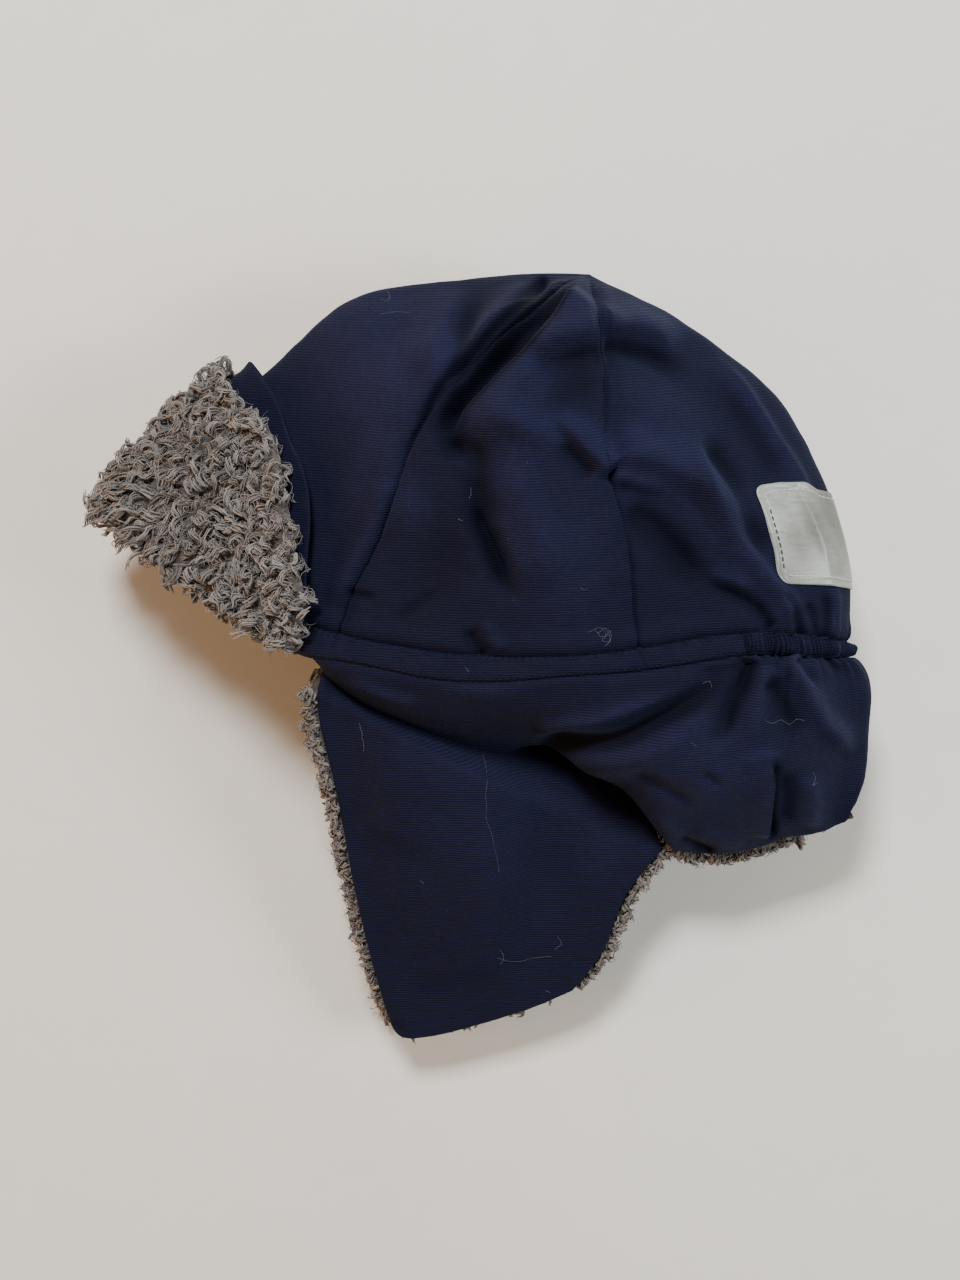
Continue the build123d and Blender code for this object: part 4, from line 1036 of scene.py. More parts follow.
Q_ROWS = np.array([-0.10, -0.04, 0.0, 0.02, 0.045, 0.07, 0.10, 0.14, 0.19, 0.26, 0.36, 0.48, 0.60, 0.70, 0.79, 0.86, 0.91, 0.945, 0.97, 0.99, 1.02, 1.06])


def casing(name, t0, t1, node, up, down, gathered=False):
    theta = columns(t0, t1, 0.0, up, down, min(up, 0.3))
    P, n = band_surface(theta, Q_ROWS, gathered)
    P, n = allow(P, n, depth=1.6)
    ob = sheet_mesh(name, P, n, NAVY_BAND)
    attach(ob, "hat")
    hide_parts(node)
    return ob


casing_left = casing("casing_band_left", 0.0, TH_E, "casing_left", 0.42, 0.42)
casing_right = casing("casing_band_right", TWO_PI - TH_E, TWO_PI, "casing_right", 0.8, 0.9)
casing_back = casing("casing_band_gathered", TH_E, TWO_PI - TH_E, "casing_gathered_back", 0.21, 0.34, True)

# the elastic that lies inside the gathered part
_th = columns(TH_E, TWO_PI - TH_E, 0.0, 1.2, 1.6)
_v = np.array([-0.12, -0.2, -0.35, -0.5, -0.65, -0.8, -0.88])
_b = crown(_th, _v)
_n = crown_normals(crown(_th, np.array([-0.9, -0.75, -0.6, -0.45, -0.3, -0.15, 0.0])))
_rib = 0.12 * np.sin(np.arange(len(_th)) * 1.9)[None, :, None]
_edge = np.array([0.0, 0.7, 1, 1, 1, 0.7, 0.0])[:, None, None]
elastic = slab_mesh("elastic_band", _b - _n * (1.9 - 0.5 * _edge + _rib), _b - _n * (1.9 + 0.5 * _edge + _rib), _n, ELASTIC)
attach(elastic, "hat"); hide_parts("back_elastic")


# ---------------------------------------------------------------- stitches
def tubes(name, lines, radii, material, sides=5, tint=None):
    """Short tubes along lines, each an array of points in mm; closed at both ends."""
    verts, quads, caps, start = [], [], [], 0
    ang = np.arange(sides) * TWO_PI / sides
    for line, rad in zip(lines, radii):
        line = np.asarray(line, float)
        m = len(line)
        T = np.gradient(line, axis=0)
        T /= np.maximum(np.linalg.norm(T, axis=1, keepdims=True), 1e-9)
        ref = np.array([0.31, 0.17, 0.93]) if abs(T[0, 2]) < 0.8 else np.array([1.0, 0.1, 0.2])
        a = np.cross(T, ref); a /= np.linalg.norm(a, axis=1, keepdims=True)
        b = np.cross(T, a)
        rr = np.asarray(rad, float) * np.ones(m)
        ring = line[:, None] + rr[:, None, None] * (np.cos(ang)[None, :, None] * a[:, None] + np.sin(ang)[None, :, None] * b[:, None])
        verts.append(ring.reshape(-1, 3))
        quads.append(grid_faces(m, sides, start, closed=True))
        for base in (start, start + (m - 1) * sides):
            for k in range(1, sides - 1):
                tri = [base, base + k, base + k + 1]
                caps.append(tri if base == start else tri[::-1])
        start += m * sides
    return build(name, np.concatenate(verts), [np.concatenate(quads)[:, ::-1], np.array(caps)[:, ::-1]], material, tint)


def stitch_line(points, lift, pitch, length, radius, out):
    """Stitches of a sewing machine along a line: each rises out of the cloth and dips back."""
    d = run_of(points)
    count = int(d[-1] / pitch)
    lines, radii = [], []
    for k in range(count):
        c = (k + 0.5) * d[-1] / count
        f = np.linspace(-0.5, 0.5, 5)
        x = c + f * length
        p = np.stack([np.interp(x, d, points[:, i]) for i in range(3)], 1)
        o = np.stack([np.interp(x, d, out[:, i]) for i in range(3)], 1)
        p = p + o * (lift * (1 - (2 * f) ** 2) - 0.12)[:, None]
        lines.append(p)
        radii.append(radius * np.array([0.75, 1, 1, 1, 0.75]))
    return lines, radii


_lines, _radii = [], []
for _q, _lift in ((0.105, 0.16), (0.925, 0.18)):
    for _a, _b2 in ((0.02, TH_E - 0.02), (TWO_PI - TH_E + 0.02, TWO_PI - 0.02)):
        _th = np.linspace(_a, _b2, 900)
        _p, _nn = band_surface(_th, np.array([_q]), False)
        _l, _r2 = stitch_line(_p[0], _lift, 2.45, 1.75, 0.17, _nn[0])
        _lines += _l; _radii += _r2
topstitch = tubes("casing_topstitch", _lines, _radii, NAVY_THREAD, 5)
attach(topstitch, "hat"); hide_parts("casing_topstitching")

_k = 2.3 / PATCH_H
_in = 2.3 / 112.0
_loop = np.concatenate([
    np.stack([np.full(200, _k), np.linspace(0.5, 0.045, 200)], 1),
    np.stack([_k + 0.05 * (1 - np.cos(np.linspace(0, math.pi / 2, 12))), 0.045 - (0.045 - _in) * np.sin(np.linspace(0, math.pi / 2, 12))], 1),
    np.stack([np.linspace(_k + 0.06, 1 - _k - 0.06, 60), np.full(60, _in)], 1),
    np.stack([1 - _k - 0.05 * (1 - np.sin(np.linspace(0, math.pi / 2, 12))), _in + (0.045 - _in) * (1 - np.cos(np.linspace(0, math.pi / 2, 12)))], 1),
    np.stack([np.full(200, 1 - _k), np.linspace(0.045, 0.5, 200)], 1)])
_loops = [_loop, np.stack([_loop[:, 0], 1 - _loop[:, 1]], 1)]
_pl, _pr, _gl, _gr = [], [], [], []
for _lp in _loops:
    _pp, _pn = patch_at(_lp[:, 0], _lp[:, 1], 0)
    _l, _r2 = stitch_line(_pp, 0.30, 2.45, 1.7, 0.27, _pn)
    _mid = [x[2] for x in _l]
    _end = np.array([_pp[210:262].mean(0)])
    for _x, _y in zip(_l, _r2):
        near = np.min(np.linalg.norm(_pp[214:262] - _x[2], axis=1)) < 1.0
        (_gl if near else _pl).append(_x); (_gr if near else _pr).append(_y)
patch_stitch = tubes("patch_stitches", _pl, _pr, PALE_THREAD, 6)
patch_stitch_end = tubes("patch_stitches_ends", _gl, _gr, EDGE_THREAD, 6)
for _o in (patch_stitch, patch_stitch_end):
    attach(_o, "hat")
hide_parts("patch_stitching")


# ---------------------------------------------------------------- skirt
def outward(P, want):
    n = normals(P)
    return n if np.median(np.sum(n * want, axis=2)) >= 0 else -n


TH_SPLIT = math.pi + 0.62
_tt = np.linspace(TH_T, TH_SPLIT, 1600)
SK_COLS = steps(skirt_upper(_tt, np.array([0.4]))[0], _tt, lambda x, rest, th: float(np.clip(0.4 + 0.15 * min(x, rest), 0.4, 0.8 if th < math.pi + 0.12 else 2.0)))
_ww = np.linspace(0, 1, 600)
SK_ROWS = steps(skirt_upper(np.array([theta_of(0.74)]), _ww)[:, 0], _ww, lambda x, rest, w: float(np.clip(0.25 + 0.14 * min(x, rest), 0.25, 0.8)))


def skirt_cloth(theta, w, which):
    base = (skirt_upper if which == "left" else skirt_plain)(theta, w)
    n = outward(base, np.array([0, 0, 1.0 if which == "left" else -1.0]))
    r = round_run(theta)[None, :]
    s = share(theta)[None, :]
    d0, d1 = col_runs(base)
    off = cloth_noise(base, 0.8)
    sc = scallops(r)
    back = smooth(s, S_ELASTIC - 0.03, S_ELASTIC + 0.02)
    plain = 0.25 * (sc - 0.6) * np.exp(-(d0 / 1.8)) + 0.22 * noise(r / 5.0, d0 / 14, 61) * np.exp(-(d0 / 6))
    g = 0.9 * gathers(r / 2.6, 4) * np.exp(-(d0 / 8.0)) + 0.6 * gathers(r, 3) * np.exp(-(d0 / 2.0))
    off = off - 1.3 * np.exp(-(d0 / 1.1) ** 2) + 0.55 * np.exp(-((d0 - 3.5) / 2.6) ** 2) + lerp(plain, g, back)
    # puckers of the hem's stitching
    off = off + 0.22 * noise(r / 2.6, 0 * r, 66) * np.exp(-(d1 / 3.0)) * smooth(s, 0.70, 0.78)
    P = base + n * off[..., None]
    if which == "left":
        P = sculpt(P, n, SKIRT_FOLDS, 1.65, 0.5)
    tuck = P[0] - P[3]
    P[0] += tuck / np.maximum(np.linalg.norm(tuck, axis=1, keepdims=True), 1e-9) * 2.4 - n[0] * 1.1
    P[..., 2] = np.maximum(P[..., 2], 0.2)
    n2 = outward(P, np.array([0, 0, 1.0 if which == "left" else -1.0]))
    lip = smooth(s, 0.60, 0.64) * (1 - smooth(s, 0.735, 0.765)) * (1 if which == "left" else 0)
    R, T = 1.5 + 2.6 * lip, 2.0 + 3.6 * lip
    f = lens(np.minimum(d1, 99), R)
    dl, dr = row_runs(base)
    side = lens(dl if which == "left" else dr, 1.2)
    f = f * side
    top = P - n2 * (T / 2 * (1 - f))[..., None]
    bot = P - n2 * (T / 2 * (1 + f))[..., None]
    bot[..., 2] = np.maximum(bot[..., 2], 0.3)
    return top, bot, n2


_top, _bot, _n = skirt_cloth(SK_COLS, SK_ROWS, "left")
skirt_left = slab_mesh("skirt_and_neck_flap", _top, _bot, _n, NAVY)
# painted shade in the skirt's fold hollows, painted light on its ridges
paint_fold_shade_and_light(skirt_left, SKIRT_FOLDS, 1.65, 0.5)
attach(skirt_left, "hat"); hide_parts("skirt_shell")
_tt = np.linspace(TH_SPLIT - 0.02, TWO_PI - TH_T, 900)
_cols = steps(skirt_plain(_tt, np.array([0.4]))[0], _tt, lambda x, rest, th: float(np.clip(0.5 + 0.15 * min(x, rest), 0.5, 2.4)))
_top, _bot, _n = skirt_cloth(_cols, SK_ROWS[::2] if len(SK_ROWS) % 2 else np.r_[SK_ROWS[::2], 1.0], "right")
skirt_right = slab_mesh("skirt_lower_side", _top, _bot, _n, NAVY)
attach(skirt_right, "hat")


def flap_surface(side, fine, coarse, back):
    us, vs = edged(112.0, fine, coarse), edged(120.0, fine, coarse)
    vs = vs[vs <= 1]
    base = flap_grid(us, vs, back, side)
    want = np.array([0, 0, 1.0 if side == "left" else -1.0])
    n = outward(base, want)
    nb = len(back)
    front, rear = row_runs(base)
    low = col_runs(base)[1]
    return base, n, front, rear, low, nb, us, vs


def flap_shell(name, side, fine, coarse, node):
    back = np.array([15.0, 13.0, 11.0, 9.2, 7.6, 6.2, 5.0, 3.9, 2.9, 2.0, 1.2, 0.5] if side == "left" else [4.0, 2.6, 1.2])
    base, n, front, rear, low, nb, us, vs = flap_surface(side, fine, coarse, back)
    e = np.minimum(np.minimum(front, rear), low)
    off = cloth_noise(base, 0.75) * smooth(e, 0.0, 6.0)
    off = off - 0.10 * np.exp(-((e - 5.2) / 1.8) ** 2) + 0.12 * np.exp(-((e - 2.6) / 1.8) ** 2)
    off = off + 0.20 * noise((front - rear) / 4.5 + low / 6, e / 6, 55) * np.exp(-(e / 5))
    P = base + n * off[..., None]
    if side == "left":
        P = sculpt(P, n, FLAP_FOLDS, 1.3)
    else:
        P[..., 2] = np.maximum(P[..., 2], 0.15)
    T, R = 2.6, 1.9
    f = lens(e, R)
    if side == "left":
        top = P - n * (T / 2 * (1 - f))[..., None]
        bot = P - n * (T / 2 * (1 + f))[..., None]
    else:
        top = P + np.array([0, 0, 1.0]) * (T / 2 * (1 - f))[..., None]
        bot = P + np.array([0, 0, 1.0]) * (T / 2 * (1 + f))[..., None]
    ob = slab_mesh(name, top, bot, n, NAVY)
    # painted shade in the flap's fold hollows, painted light on its ridges
    if side == "left":
        paint_fold_shade_and_light(ob, FLAP_FOLDS, 1.3)
    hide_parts(node)
    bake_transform(ob)
    return ob


flap_left = flap_shell("ear_flap_left_cloth", "left", 0.30, 0.85, "ear_flap_left_shell")
flap_right = flap_shell("ear_flap_right_cloth", "right", 0.45, 2.2, "ear_flap_right_shell")

# ---------------------------------------------------------------- visor
_tv = np.linspace(-TH_V, TH_V, 900)


def visor_grid(theta, w, lift, free=1.0):
    """The turned-up visor: w is 0 at the casing's seam and 1 at its free edge."""
    vf = natural(VISOR_COLS, VISOR_FREE, np.clip(theta, -1.159, 1.159)) * free
    vmap = np.where(w[:, None] < 0.2, -1.0 + w[:, None] / 0.2, (w[:, None] - 0.2) / 0.8 * vf[None, :])
    dense = np.linspace(-1, 0.42, 200)
    base = crown(theta, dense)
    n = crown_normals(base)
    P, N = np.zeros((len(w), len(theta), 3)), np.zeros((len(w), len(theta), 3))
    for j in range(len(theta)):
        for c in range(3):
            P[:, j, c] = np.interp(vmap[:, j], dense, base[:, j, c])
            N[:, j, c] = np.interp(vmap[:, j], dense, n[:, j, c])
    N /= np.linalg.norm(N, axis=2, keepdims=True)
    return P + N * np.asarray(lift)[..., None], N


_pts = visor_grid(_tv, np.array([0.7]), np.zeros((1, len(_tv))))[0][0]
V_COLS = steps(_pts, _tv, lambda x, rest, th: float(np.clip(0.4 + 0.15 * min(x, rest), 0.4, 1.0 if th > -0.15 else 2.2)))
V_ROWS = edged(78.0, 0.3, 1.0)
_P0, _N0 = visor_grid(V_COLS, V_ROWS, np.zeros((len(V_ROWS), len(V_COLS))))
_f, _re = row_runs(_P0)
_lo, _hi = col_runs(_P0)
_e = np.minimum(np.minimum(_f, _re), _hi)
_wave = 0.5 * noise(_P0[..., 0] / 14, _P0[..., 1] / 14, 21) + 0.2 * noise(_P0[..., 0] / 5, _P0[..., 1] / 5, 22)
# the free edge stands a little off the crown and rolls outwards
_stand = 1.9 + 3.2 * np.exp(-(_hi / 9.0)) + _wave
_ff = lens(_e, 1.4)
_mid = _P0 + _N0 * (_stand + 0.9)[..., None]
visor_shell = slab_mesh("visor_cloth", _mid + _N0 * (0.95 * _ff)[..., None], _mid - _N0 * (0.95 * _ff)[..., None], _N0, NAVY)
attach(visor_shell, "visor"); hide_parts("visor_shell")


# ---------------------------------------------------------------- pile linings
from mathutils.bvhtree import BVHTree


def cloth_tree(obs):
    v, f, k = [], [], 0
    for o in obs:
        c = np.empty(len(o.data.vertices) * 3)
        o.data.vertices.foreach_get("co", c)
        v += [tuple(x) for x in c.reshape(-1, 3) / MM]
        f += [tuple(i + k for i in p.vertices) for p in o.data.polygons]
        k = len(v)
    return BVHTree.FromPolygons(v, f)


# one tree of all the cloth, in mm: a strand that would cross it is left out
CLOTH = cloth_tree([front_panel, side_left, side_right, back_panel, casing_left, casing_right, casing_back, skirt_left, skirt_right, flap_left, flap_right, visor_shell])


def clear_of_cloth(path):
    """Which strands never pass through the cloth."""
    ok = np.ones(len(path), bool)
    last = path.shape[1] - 1
    at = sorted({0, last // 4, last // 2, 3 * last // 4, last})
    pts = path[:, at]
    way = pts[:, 1:] - pts[:, :-1]
    far = np.linalg.norm(way, axis=2)
    for i in range(len(path)):
        for j in range(len(at) - 1):
            if far[i, j] > 1e-6 and CLOTH.ray_cast(Vector(pts[i, j]), Vector(way[i, j]), far[i, j] + 0.15)[0] is not None:
                ok[i] = False
                break
    return ok


def closed_mat(name, P, N, top, bottom, material, R=2.4, edges=(True, True, True, True), fine=5.0, amp=0.5, floor=None):
    """A padded mat that follows the surface P: its faces lie top and bottom mm inside it."""
    a, b = row_runs(P)
    c, d = col_runs(P)
    e = np.full(P.shape[:2], 99.0)
    for run, on in zip((a, b, c, d), edges):
        if on:
            e = np.minimum(e, run)
    f = lens(e, R)
    mid, half = (top + bottom) / 2, (bottom - top) / 2
    x, y = P[..., 0] + P[..., 2] * 0.4, P[..., 1] + P[..., 2] * 0.3
    lump = amp * noise(x / fine, y / fine, 33) + 0.5 * amp * noise(x * 2 / fine, y * 2 / fine, 34)
    hi = P - N * (mid - half * f)[..., None]
    lo = P - N * (mid + half * f + lump * f)[..., None]
    if floor is not None:
        hi[..., 2], lo[..., 2] = np.maximum(hi[..., 2], floor), np.maximum(lo[..., 2], floor + 0.3)
    return slab_mesh(name, hi, lo, N, material), lo, mid


def scatter(P, N, spacing, rng, keep=None):
    """Evenly spread random points on a grid surface: positions and normals."""
    m, n = P.shape[:2]
    c = (P[:-1, :-1] + P[1:, 1:]) / 2
    area = np.linalg.norm(np.cross(P[1:, 1:] - P[:-1, :-1], P[1:, :-1] - P[:-1, 1:]), axis=2) / 2
    prob = area.ravel()
    total = prob.sum()
    count = int(total / spacing ** 2 * 3.2)
    cell = rng.choice(len(prob), count, p=prob / total)
    i, j = np.divmod(cell, n - 1)
    u, v = rng.random(count), rng.random(count)
    w = [(1 - u) * (1 - v), u * (1 - v), u * v, (1 - u) * v]
    pick = lambda g: sum(k[:, None] * g[a, b] for k, (a, b) in zip(w, ((i, j), (i, j + 1), (i + 1, j + 1), (i + 1, j))))
    p, nn = pick(P), pick(N)
    if keep is not None:
        ok = keep(p)
        p, nn, i, j = p[ok], nn[ok], i[ok], j[ok]
    taken, grid = [], {}
    keys = np.floor(p / spacing).astype(int)
    for k in range(len(p)):
        a, b, c3 = keys[k]
        good = True
        for dx in (-1, 0, 1):
            for dy in (-1, 0, 1):
                for dz in (-1, 0, 1):
                    for q in grid.get((a + dx, b + dy, c3 + dz), ()):
                        if (p[k, 0] - p[q, 0]) ** 2 + (p[k, 1] - p[q, 1]) ** 2 + (p[k, 2] - p[q, 2]) ** 2 < spacing ** 2 * 0.72:
                            good = False
                            break
                    if not good:
                        break
                if not good:
                    break
            if not good:
                break
        if good:
            taken.append(k)
            grid.setdefault((a, b, c3), []).append(k)
    nn = nn[taken]
    return p[taken], nn / np.maximum(np.linalg.norm(nn, axis=1, keepdims=True), 1e-9)


def tufts(name, root, nrm, flow, rng, material, length=(5.0, 8.0), strands=3, fuzz=2, radius=(0.42, 0.60), curl=(0.8, 1.5), turns=(0.7, 1.6), rise=0.45, seg=9, sides=4, spread=0.5, shade=0.0, floor=0.25, press=0.9, gather=0.62):
    """Curly locks of pile.  Each lock is a few strands that curl and twist together, with
    finer fibres loose around them."""
    K = len(root)
    each = strands + fuzz
    flow = flow - nrm * np.sum(flow * nrm, axis=1, keepdims=True)
    flow /= np.maximum(np.linalg.norm(flow, axis=1, keepdims=True), 1e-9)
    side = np.cross(flow, nrm)
    U = lambda a, b, n=K: rng.uniform(a, b, n)
    L, rho, tn = U(*length), U(*curl), U(*turns)
    sense, phi = np.where(rng.random(K) < 0.5, -1.0, 1.0), U(0, TWO_PI)
    H, tone = L * rise * U(0.6, 1.4), U(-0.16, 0.16) + shade
    bend = U(-0.5, 0.5)
    t = np.linspace(0, 1, seg + 1)
    rep = lambda x: np.repeat(x, each, axis=0)
    M = K * each
    thin = (np.arange(M) % each) >= strands
    root2, nrm2, flow2, side2 = rep(root), rep(nrm), rep(flow), rep(side)
    off = rng.normal(0, 1, (M, 2)) * np.where(thin, spread * 2.2, spread)[:, None]
    root2 = root2 + flow2 * off[:, :1] + side2 * off[:, 1:]
    L2 = rep(L) * U(0.85, 1.1, M) * np.where(thin, 1.12, 1.0)
    H2, rho2 = rep(H) * U(0.85, 1.2, M) * np.where(thin, 1.25, 1.0), rep(rho) * U(0.8, 1.2, M)
    ph = rep(phi) + U(-0.35, 0.35, M) + np.where(thin, U(-0.8, 0.8, M), 0)
    w = rep(sense * tn) * TWO_PI
    T = t[None, :]
    ang = ph[:, None] + w[:, None] * T
    grow = np.clip(T * 2.0, 0, 1)
    twist = U(0, TWO_PI, M)[:, None] + 4.5 * T
    small = 0.30 * U(0.6, 1.4, M)[:, None] * np.clip(T * 3, 0, 1)
    fwd = L2[:, None] * T ** 1.05 + rho2[:, None] * 0.35 * np.sin(2 * ang) * grow
    lat = rep(bend)[:, None] * L2[:, None] * T ** 2 * 0.5 + rho2[:, None] * (np.cos(ang) - np.cos(ph)[:, None]) * grow + small * np.cos(twist)
    up = H2[:, None] * np.sin(math.pi * 0.80 * T) * 1.05 + rho2[:, None] * 0.70 * (np.sin(ang) - np.sin(ph)[:, None]) * grow + small * np.sin(twist)
    up = np.maximum(up, -0.4 + press * T)
    close = np.where(thin, 0.2, gather)[:, None] * T ** 1.4
    fwd = fwd - off[:, :1] * close
    lat = lat - off[:, 1:] * close
    path = root2[:, None] + flow2[:, None] * fwd[..., None] + side2[:, None] * lat[..., None] + nrm2[:, None] * up[..., None]
    full = np.where(thin, U(0.10, 0.15, M), U(*radius, M))
    rad = full[:, None] * (0.80 + 0.30 * np.sin(math.pi * T)) * (1 - 0.30 * T ** 3)
    rad[:, -1] *= 0.45
    path[..., 2] = np.maximum(path[..., 2], floor + rad)
    # painted shade: each strand is darkest at its root, deep in the pile, and paler toward its tip; locks and strands
    # also differ in tone at random
    tint = 0.10 + 0.60 * smooth(T, 0.0, 0.60) + rep(tone)[:, None] + U(-0.07, 0.07, M)[:, None] + np.where(thin, 0.12, 0)[:, None]
    ok = clear_of_cloth(path)
    path, rad, tint, M = path[ok], rad[ok], tint[ok], int(ok.sum())
    tang = np.gradient(path, axis=1)
    tang /= np.maximum(np.linalg.norm(tang, axis=2, keepdims=True), 1e-9)
    # carry the frame along the path so that a strand never twists shut
    a = np.zeros_like(path)
    ref = np.cross(tang[:, 0], rng.normal(0, 1, (M, 3)))
    a[:, 0] = ref / np.maximum(np.linalg.norm(ref, axis=1, keepdims=True), 1e-9)
    for k in range(1, seg + 1):
        q = a[:, k - 1] - tang[:, k] * np.sum(a[:, k - 1] * tang[:, k], axis=1, keepdims=True)
        a[:, k] = q / np.maximum(np.linalg.norm(q, axis=1, keepdims=True), 1e-9)
    b = np.cross(tang, a)
    q = np.arange(sides) * TWO_PI / sides
    ring = path[:, :, None] + rad[:, :, None, None] * (np.cos(q)[None, None, :, None] * a[:, :, None] + np.sin(q)[None, None, :, None] * b[:, :, None])
    per = (seg + 1) * sides
    f = grid_faces(seg + 1, sides, 0, closed=True)[:, ::-1]
    start = (np.arange(M) * per)[:, None, None]
    faces = (f[None] + start).reshape(-1, 4)
    caps = np.array([np.arange(sides), seg * sides + np.arange(sides)[::-1]])[:, ::-1]
    caps = (caps[None] + start).reshape(-1, sides)
    tint = np.repeat(np.clip(tint, 0, 1), sides, axis=1).ravel()
    return build(name, ring.reshape(-1, 3), [faces, caps], material, tint)


def hairs(name, root, out, rng, material, length=(3.0, 7.0), radius=0.10, tint=0.7, floor=0.2):
    """Fine stray fibres that stand out of the pile in loose loops."""
    K = len(root)
    t = np.linspace(0, 1, 9)[None, :, None]
    L = rng.uniform(*length, K)[:, None, None]
    side = np.cross(out, rng.normal(0, 1, (K, 3)))
    side /= np.maximum(np.linalg.norm(side, axis=1, keepdims=True), 1e-9)
    up = np.cross(out, side)
    w = rng.uniform(2.0, 5.5, K)[:, None, None]
    ph = rng.uniform(0, TWO_PI, K)[:, None, None]
    rho = rng.uniform(0.4, 1.1, K)[:, None, None]
    path = root[:, None] + out[:, None] * (L * t) + side[:, None] * (rho * (np.cos(ph + w * t) - np.cos(ph))) + up[:, None] * (rho * (np.sin(ph + w * t) - np.sin(ph)))
    path[..., 2] = np.maximum(path[..., 2], floor)
    return tubes(name, list(path), [radius * np.linspace(1, 0.5, 9)] * K, material, 3, np.full(K * 27, tint))


RNG = np.random.default_rng(20)

# --- visor: the pile stops short of the free edge, where the navy cloth shows as a band
PILE_EDGE = [(352, 186), (376, 214), (395, 232), (415, 250), (430, 271), (455, 282), (480, 286), (508, 291), (540, 296), (557, 298), (590, 306), (612, 312), (640, 312), (670, 307)]
_vm = np.linspace(0.02, 1.0, 160)
_Pm, _Nm = visor_grid(V_COLS, _vm, np.full((160, len(V_COLS)), 5.0))
_q = hat_to_sheet(_Pm)
_pe = np.array(PILE_EDGE, float)
_over = _q[..., 0] > np.interp(_q[..., 1], _pe[:, 0], _pe[:, 1])
_top_w = np.array([_vm[np.argmax(_over[:, j] & (_vm > 0.3))] if (_over[:, j] & (_vm > 0.3)).any() and V_COLS[j] > 0.05 else 0.90 for j in range(len(V_COLS))])
for _k in range(8):
    _top_w = np.r_[_top_w[0], (_top_w[:-2] + 2 * _top_w[1:-1] + _top_w[2:]) / 4, _top_w[-1]]
_top_w = np.where(V_COLS < 0.05, 0.90, _top_w)


def pile_rows(w):
    """The visor's surface with its rows squeezed below the pile's edge."""
    P = np.zeros((len(w), len(V_COLS), 3))
    N = np.zeros_like(P)
    full_w = np.linspace(0, 1, 90)
    S, SN = visor_grid(V_COLS, full_w, np.zeros((90, len(V_COLS))))
    for j in range(len(V_COLS)):
        ww = np.interp(w, [0, 1], [0.015, _top_w[j]])
        for c in range(3):
            P[:, j, c] = np.interp(ww, full_w, S[:, j, c])
            N[:, j, c] = np.interp(ww, full_w, SN[:, j, c])
    return P, N / np.linalg.norm(N, axis=2, keepdims=True)


_w = edged(70.0, 0.5, 1.5)
_P, _N = pile_rows(_w)
_a, _b = row_runs(_P)
_c, _d = col_runs(_P)
_e = np.minimum(np.minimum(_a, _b), np.minimum(_c, _d))
_lump = 0.9 * noise(_P[..., 0] / 5.5 + _P[..., 2] / 7, _P[..., 1] / 5.0, 51) + 0.5 * noise(_P[..., 0] / 2.4, _P[..., 1] / 2.4 + _P[..., 2] / 3, 52)
_stand_p = 1.9 + 3.2 * np.exp(-(_d / 12.0))
_f = lens(_e, 4.0)
_hi = _P + _N * (_stand_p + 2.0 + (3.6 + _lump) * _f)[..., None]
_lo = _P + _N * (_stand_p + 1.95)[..., None]
visor_mat = slab_mesh("visor_pile_base", _hi, _lo, _N, BACKING)
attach(visor_mat, "visor"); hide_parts("visor_pile")


def visor_flow(p, rng, wild):
    q = hat_to_sheet(p)
    left = smooth(-q[:, 0], -235, -150)
    ang = np.radians(198 + 30 * noise(q[:, 0] / 60, q[:, 1] / 60, 5)) + rng.normal(0, 1, len(p)) * np.radians(lerp(wild, 22, left))
    # above: y up, so 198 degrees points left and a little down
    return np.stack([np.cos(ang), np.sin(ang), 0.0 * ang], 1), left


def is_upper(p):
    return p[:, 2] > 30


_Pk, _Nk = _hi, outward(_hi, _N)
_p, _nn = scatter(_Pk, _Nk, 2.28, RNG, lambda p: p[:, 2] > 34)
_fl, _left = visor_flow(_p, RNG, 85)
_isl = _left > 0.5
_sh = 0.07 * smooth(_p[:, 0], -105, -70)
visor_locks_a = tufts("visor_locks_front", _p[_isl] - _nn[_isl] * 0.8, _nn[_isl], _fl[_isl], RNG, PILE_VISOR, length=(7.5, 11.0), strands=7, fuzz=0, radius=(0.22, 0.33), curl=(0.9, 1.6), turns=(0.6, 1.2), rise=0.26, seg=11, sides=3, spread=0.52, shade=_sh[_isl])
_half = hat_to_sheet(_p)[:, 1] < 520
_k1, _k2 = ~_isl & _half, ~_isl & ~_half
visor_locks_b = tufts("visor_locks_upper", _p[_k1] - _nn[_k1] * 0.8, _nn[_k1], _fl[_k1], RNG, PILE_VISOR, length=(5.0, 7.8), strands=7, fuzz=0, radius=(0.23, 0.34), curl=(1.2, 2.0), turns=(0.7, 1.3), rise=0.36, seg=10, sides=3, spread=0.58, shade=_sh[_k1])
visor_locks_d = tufts("visor_locks_side", _p[_k2] - _nn[_k2] * 0.8, _nn[_k2], _fl[_k2], RNG, PILE_VISOR, length=(5.0, 7.8), strands=7, fuzz=0, radius=(0.23, 0.34), curl=(1.2, 2.0), turns=(0.7, 1.3), rise=0.36, seg=10, sides=3, spread=0.58, shade=_sh[_k2])
visor_fuzz = tufts("visor_loose_fibres", _p - _nn * 0.2, _nn, _fl, RNG, PILE_VISOR, length=(3.6, 6.4), strands=2, fuzz=0, radius=(0.10, 0.14), curl=(0.9, 1.8), turns=(0.6, 1.6), rise=0.40, seg=8, sides=3, spread=1.1, shade=_sh + 0.10)
_p2, _n2 = scatter(_Pk, _Nk, 3.3, RNG, lambda p: p[:, 2] <= 34)
_fl2 = np.stack([-np.ones(len(_p2)), 0.3 * np.ones(len(_p2)), 0 * _p2[:, 0]], 1) + RNG.normal(0, 0.7, (len(_p2), 3))
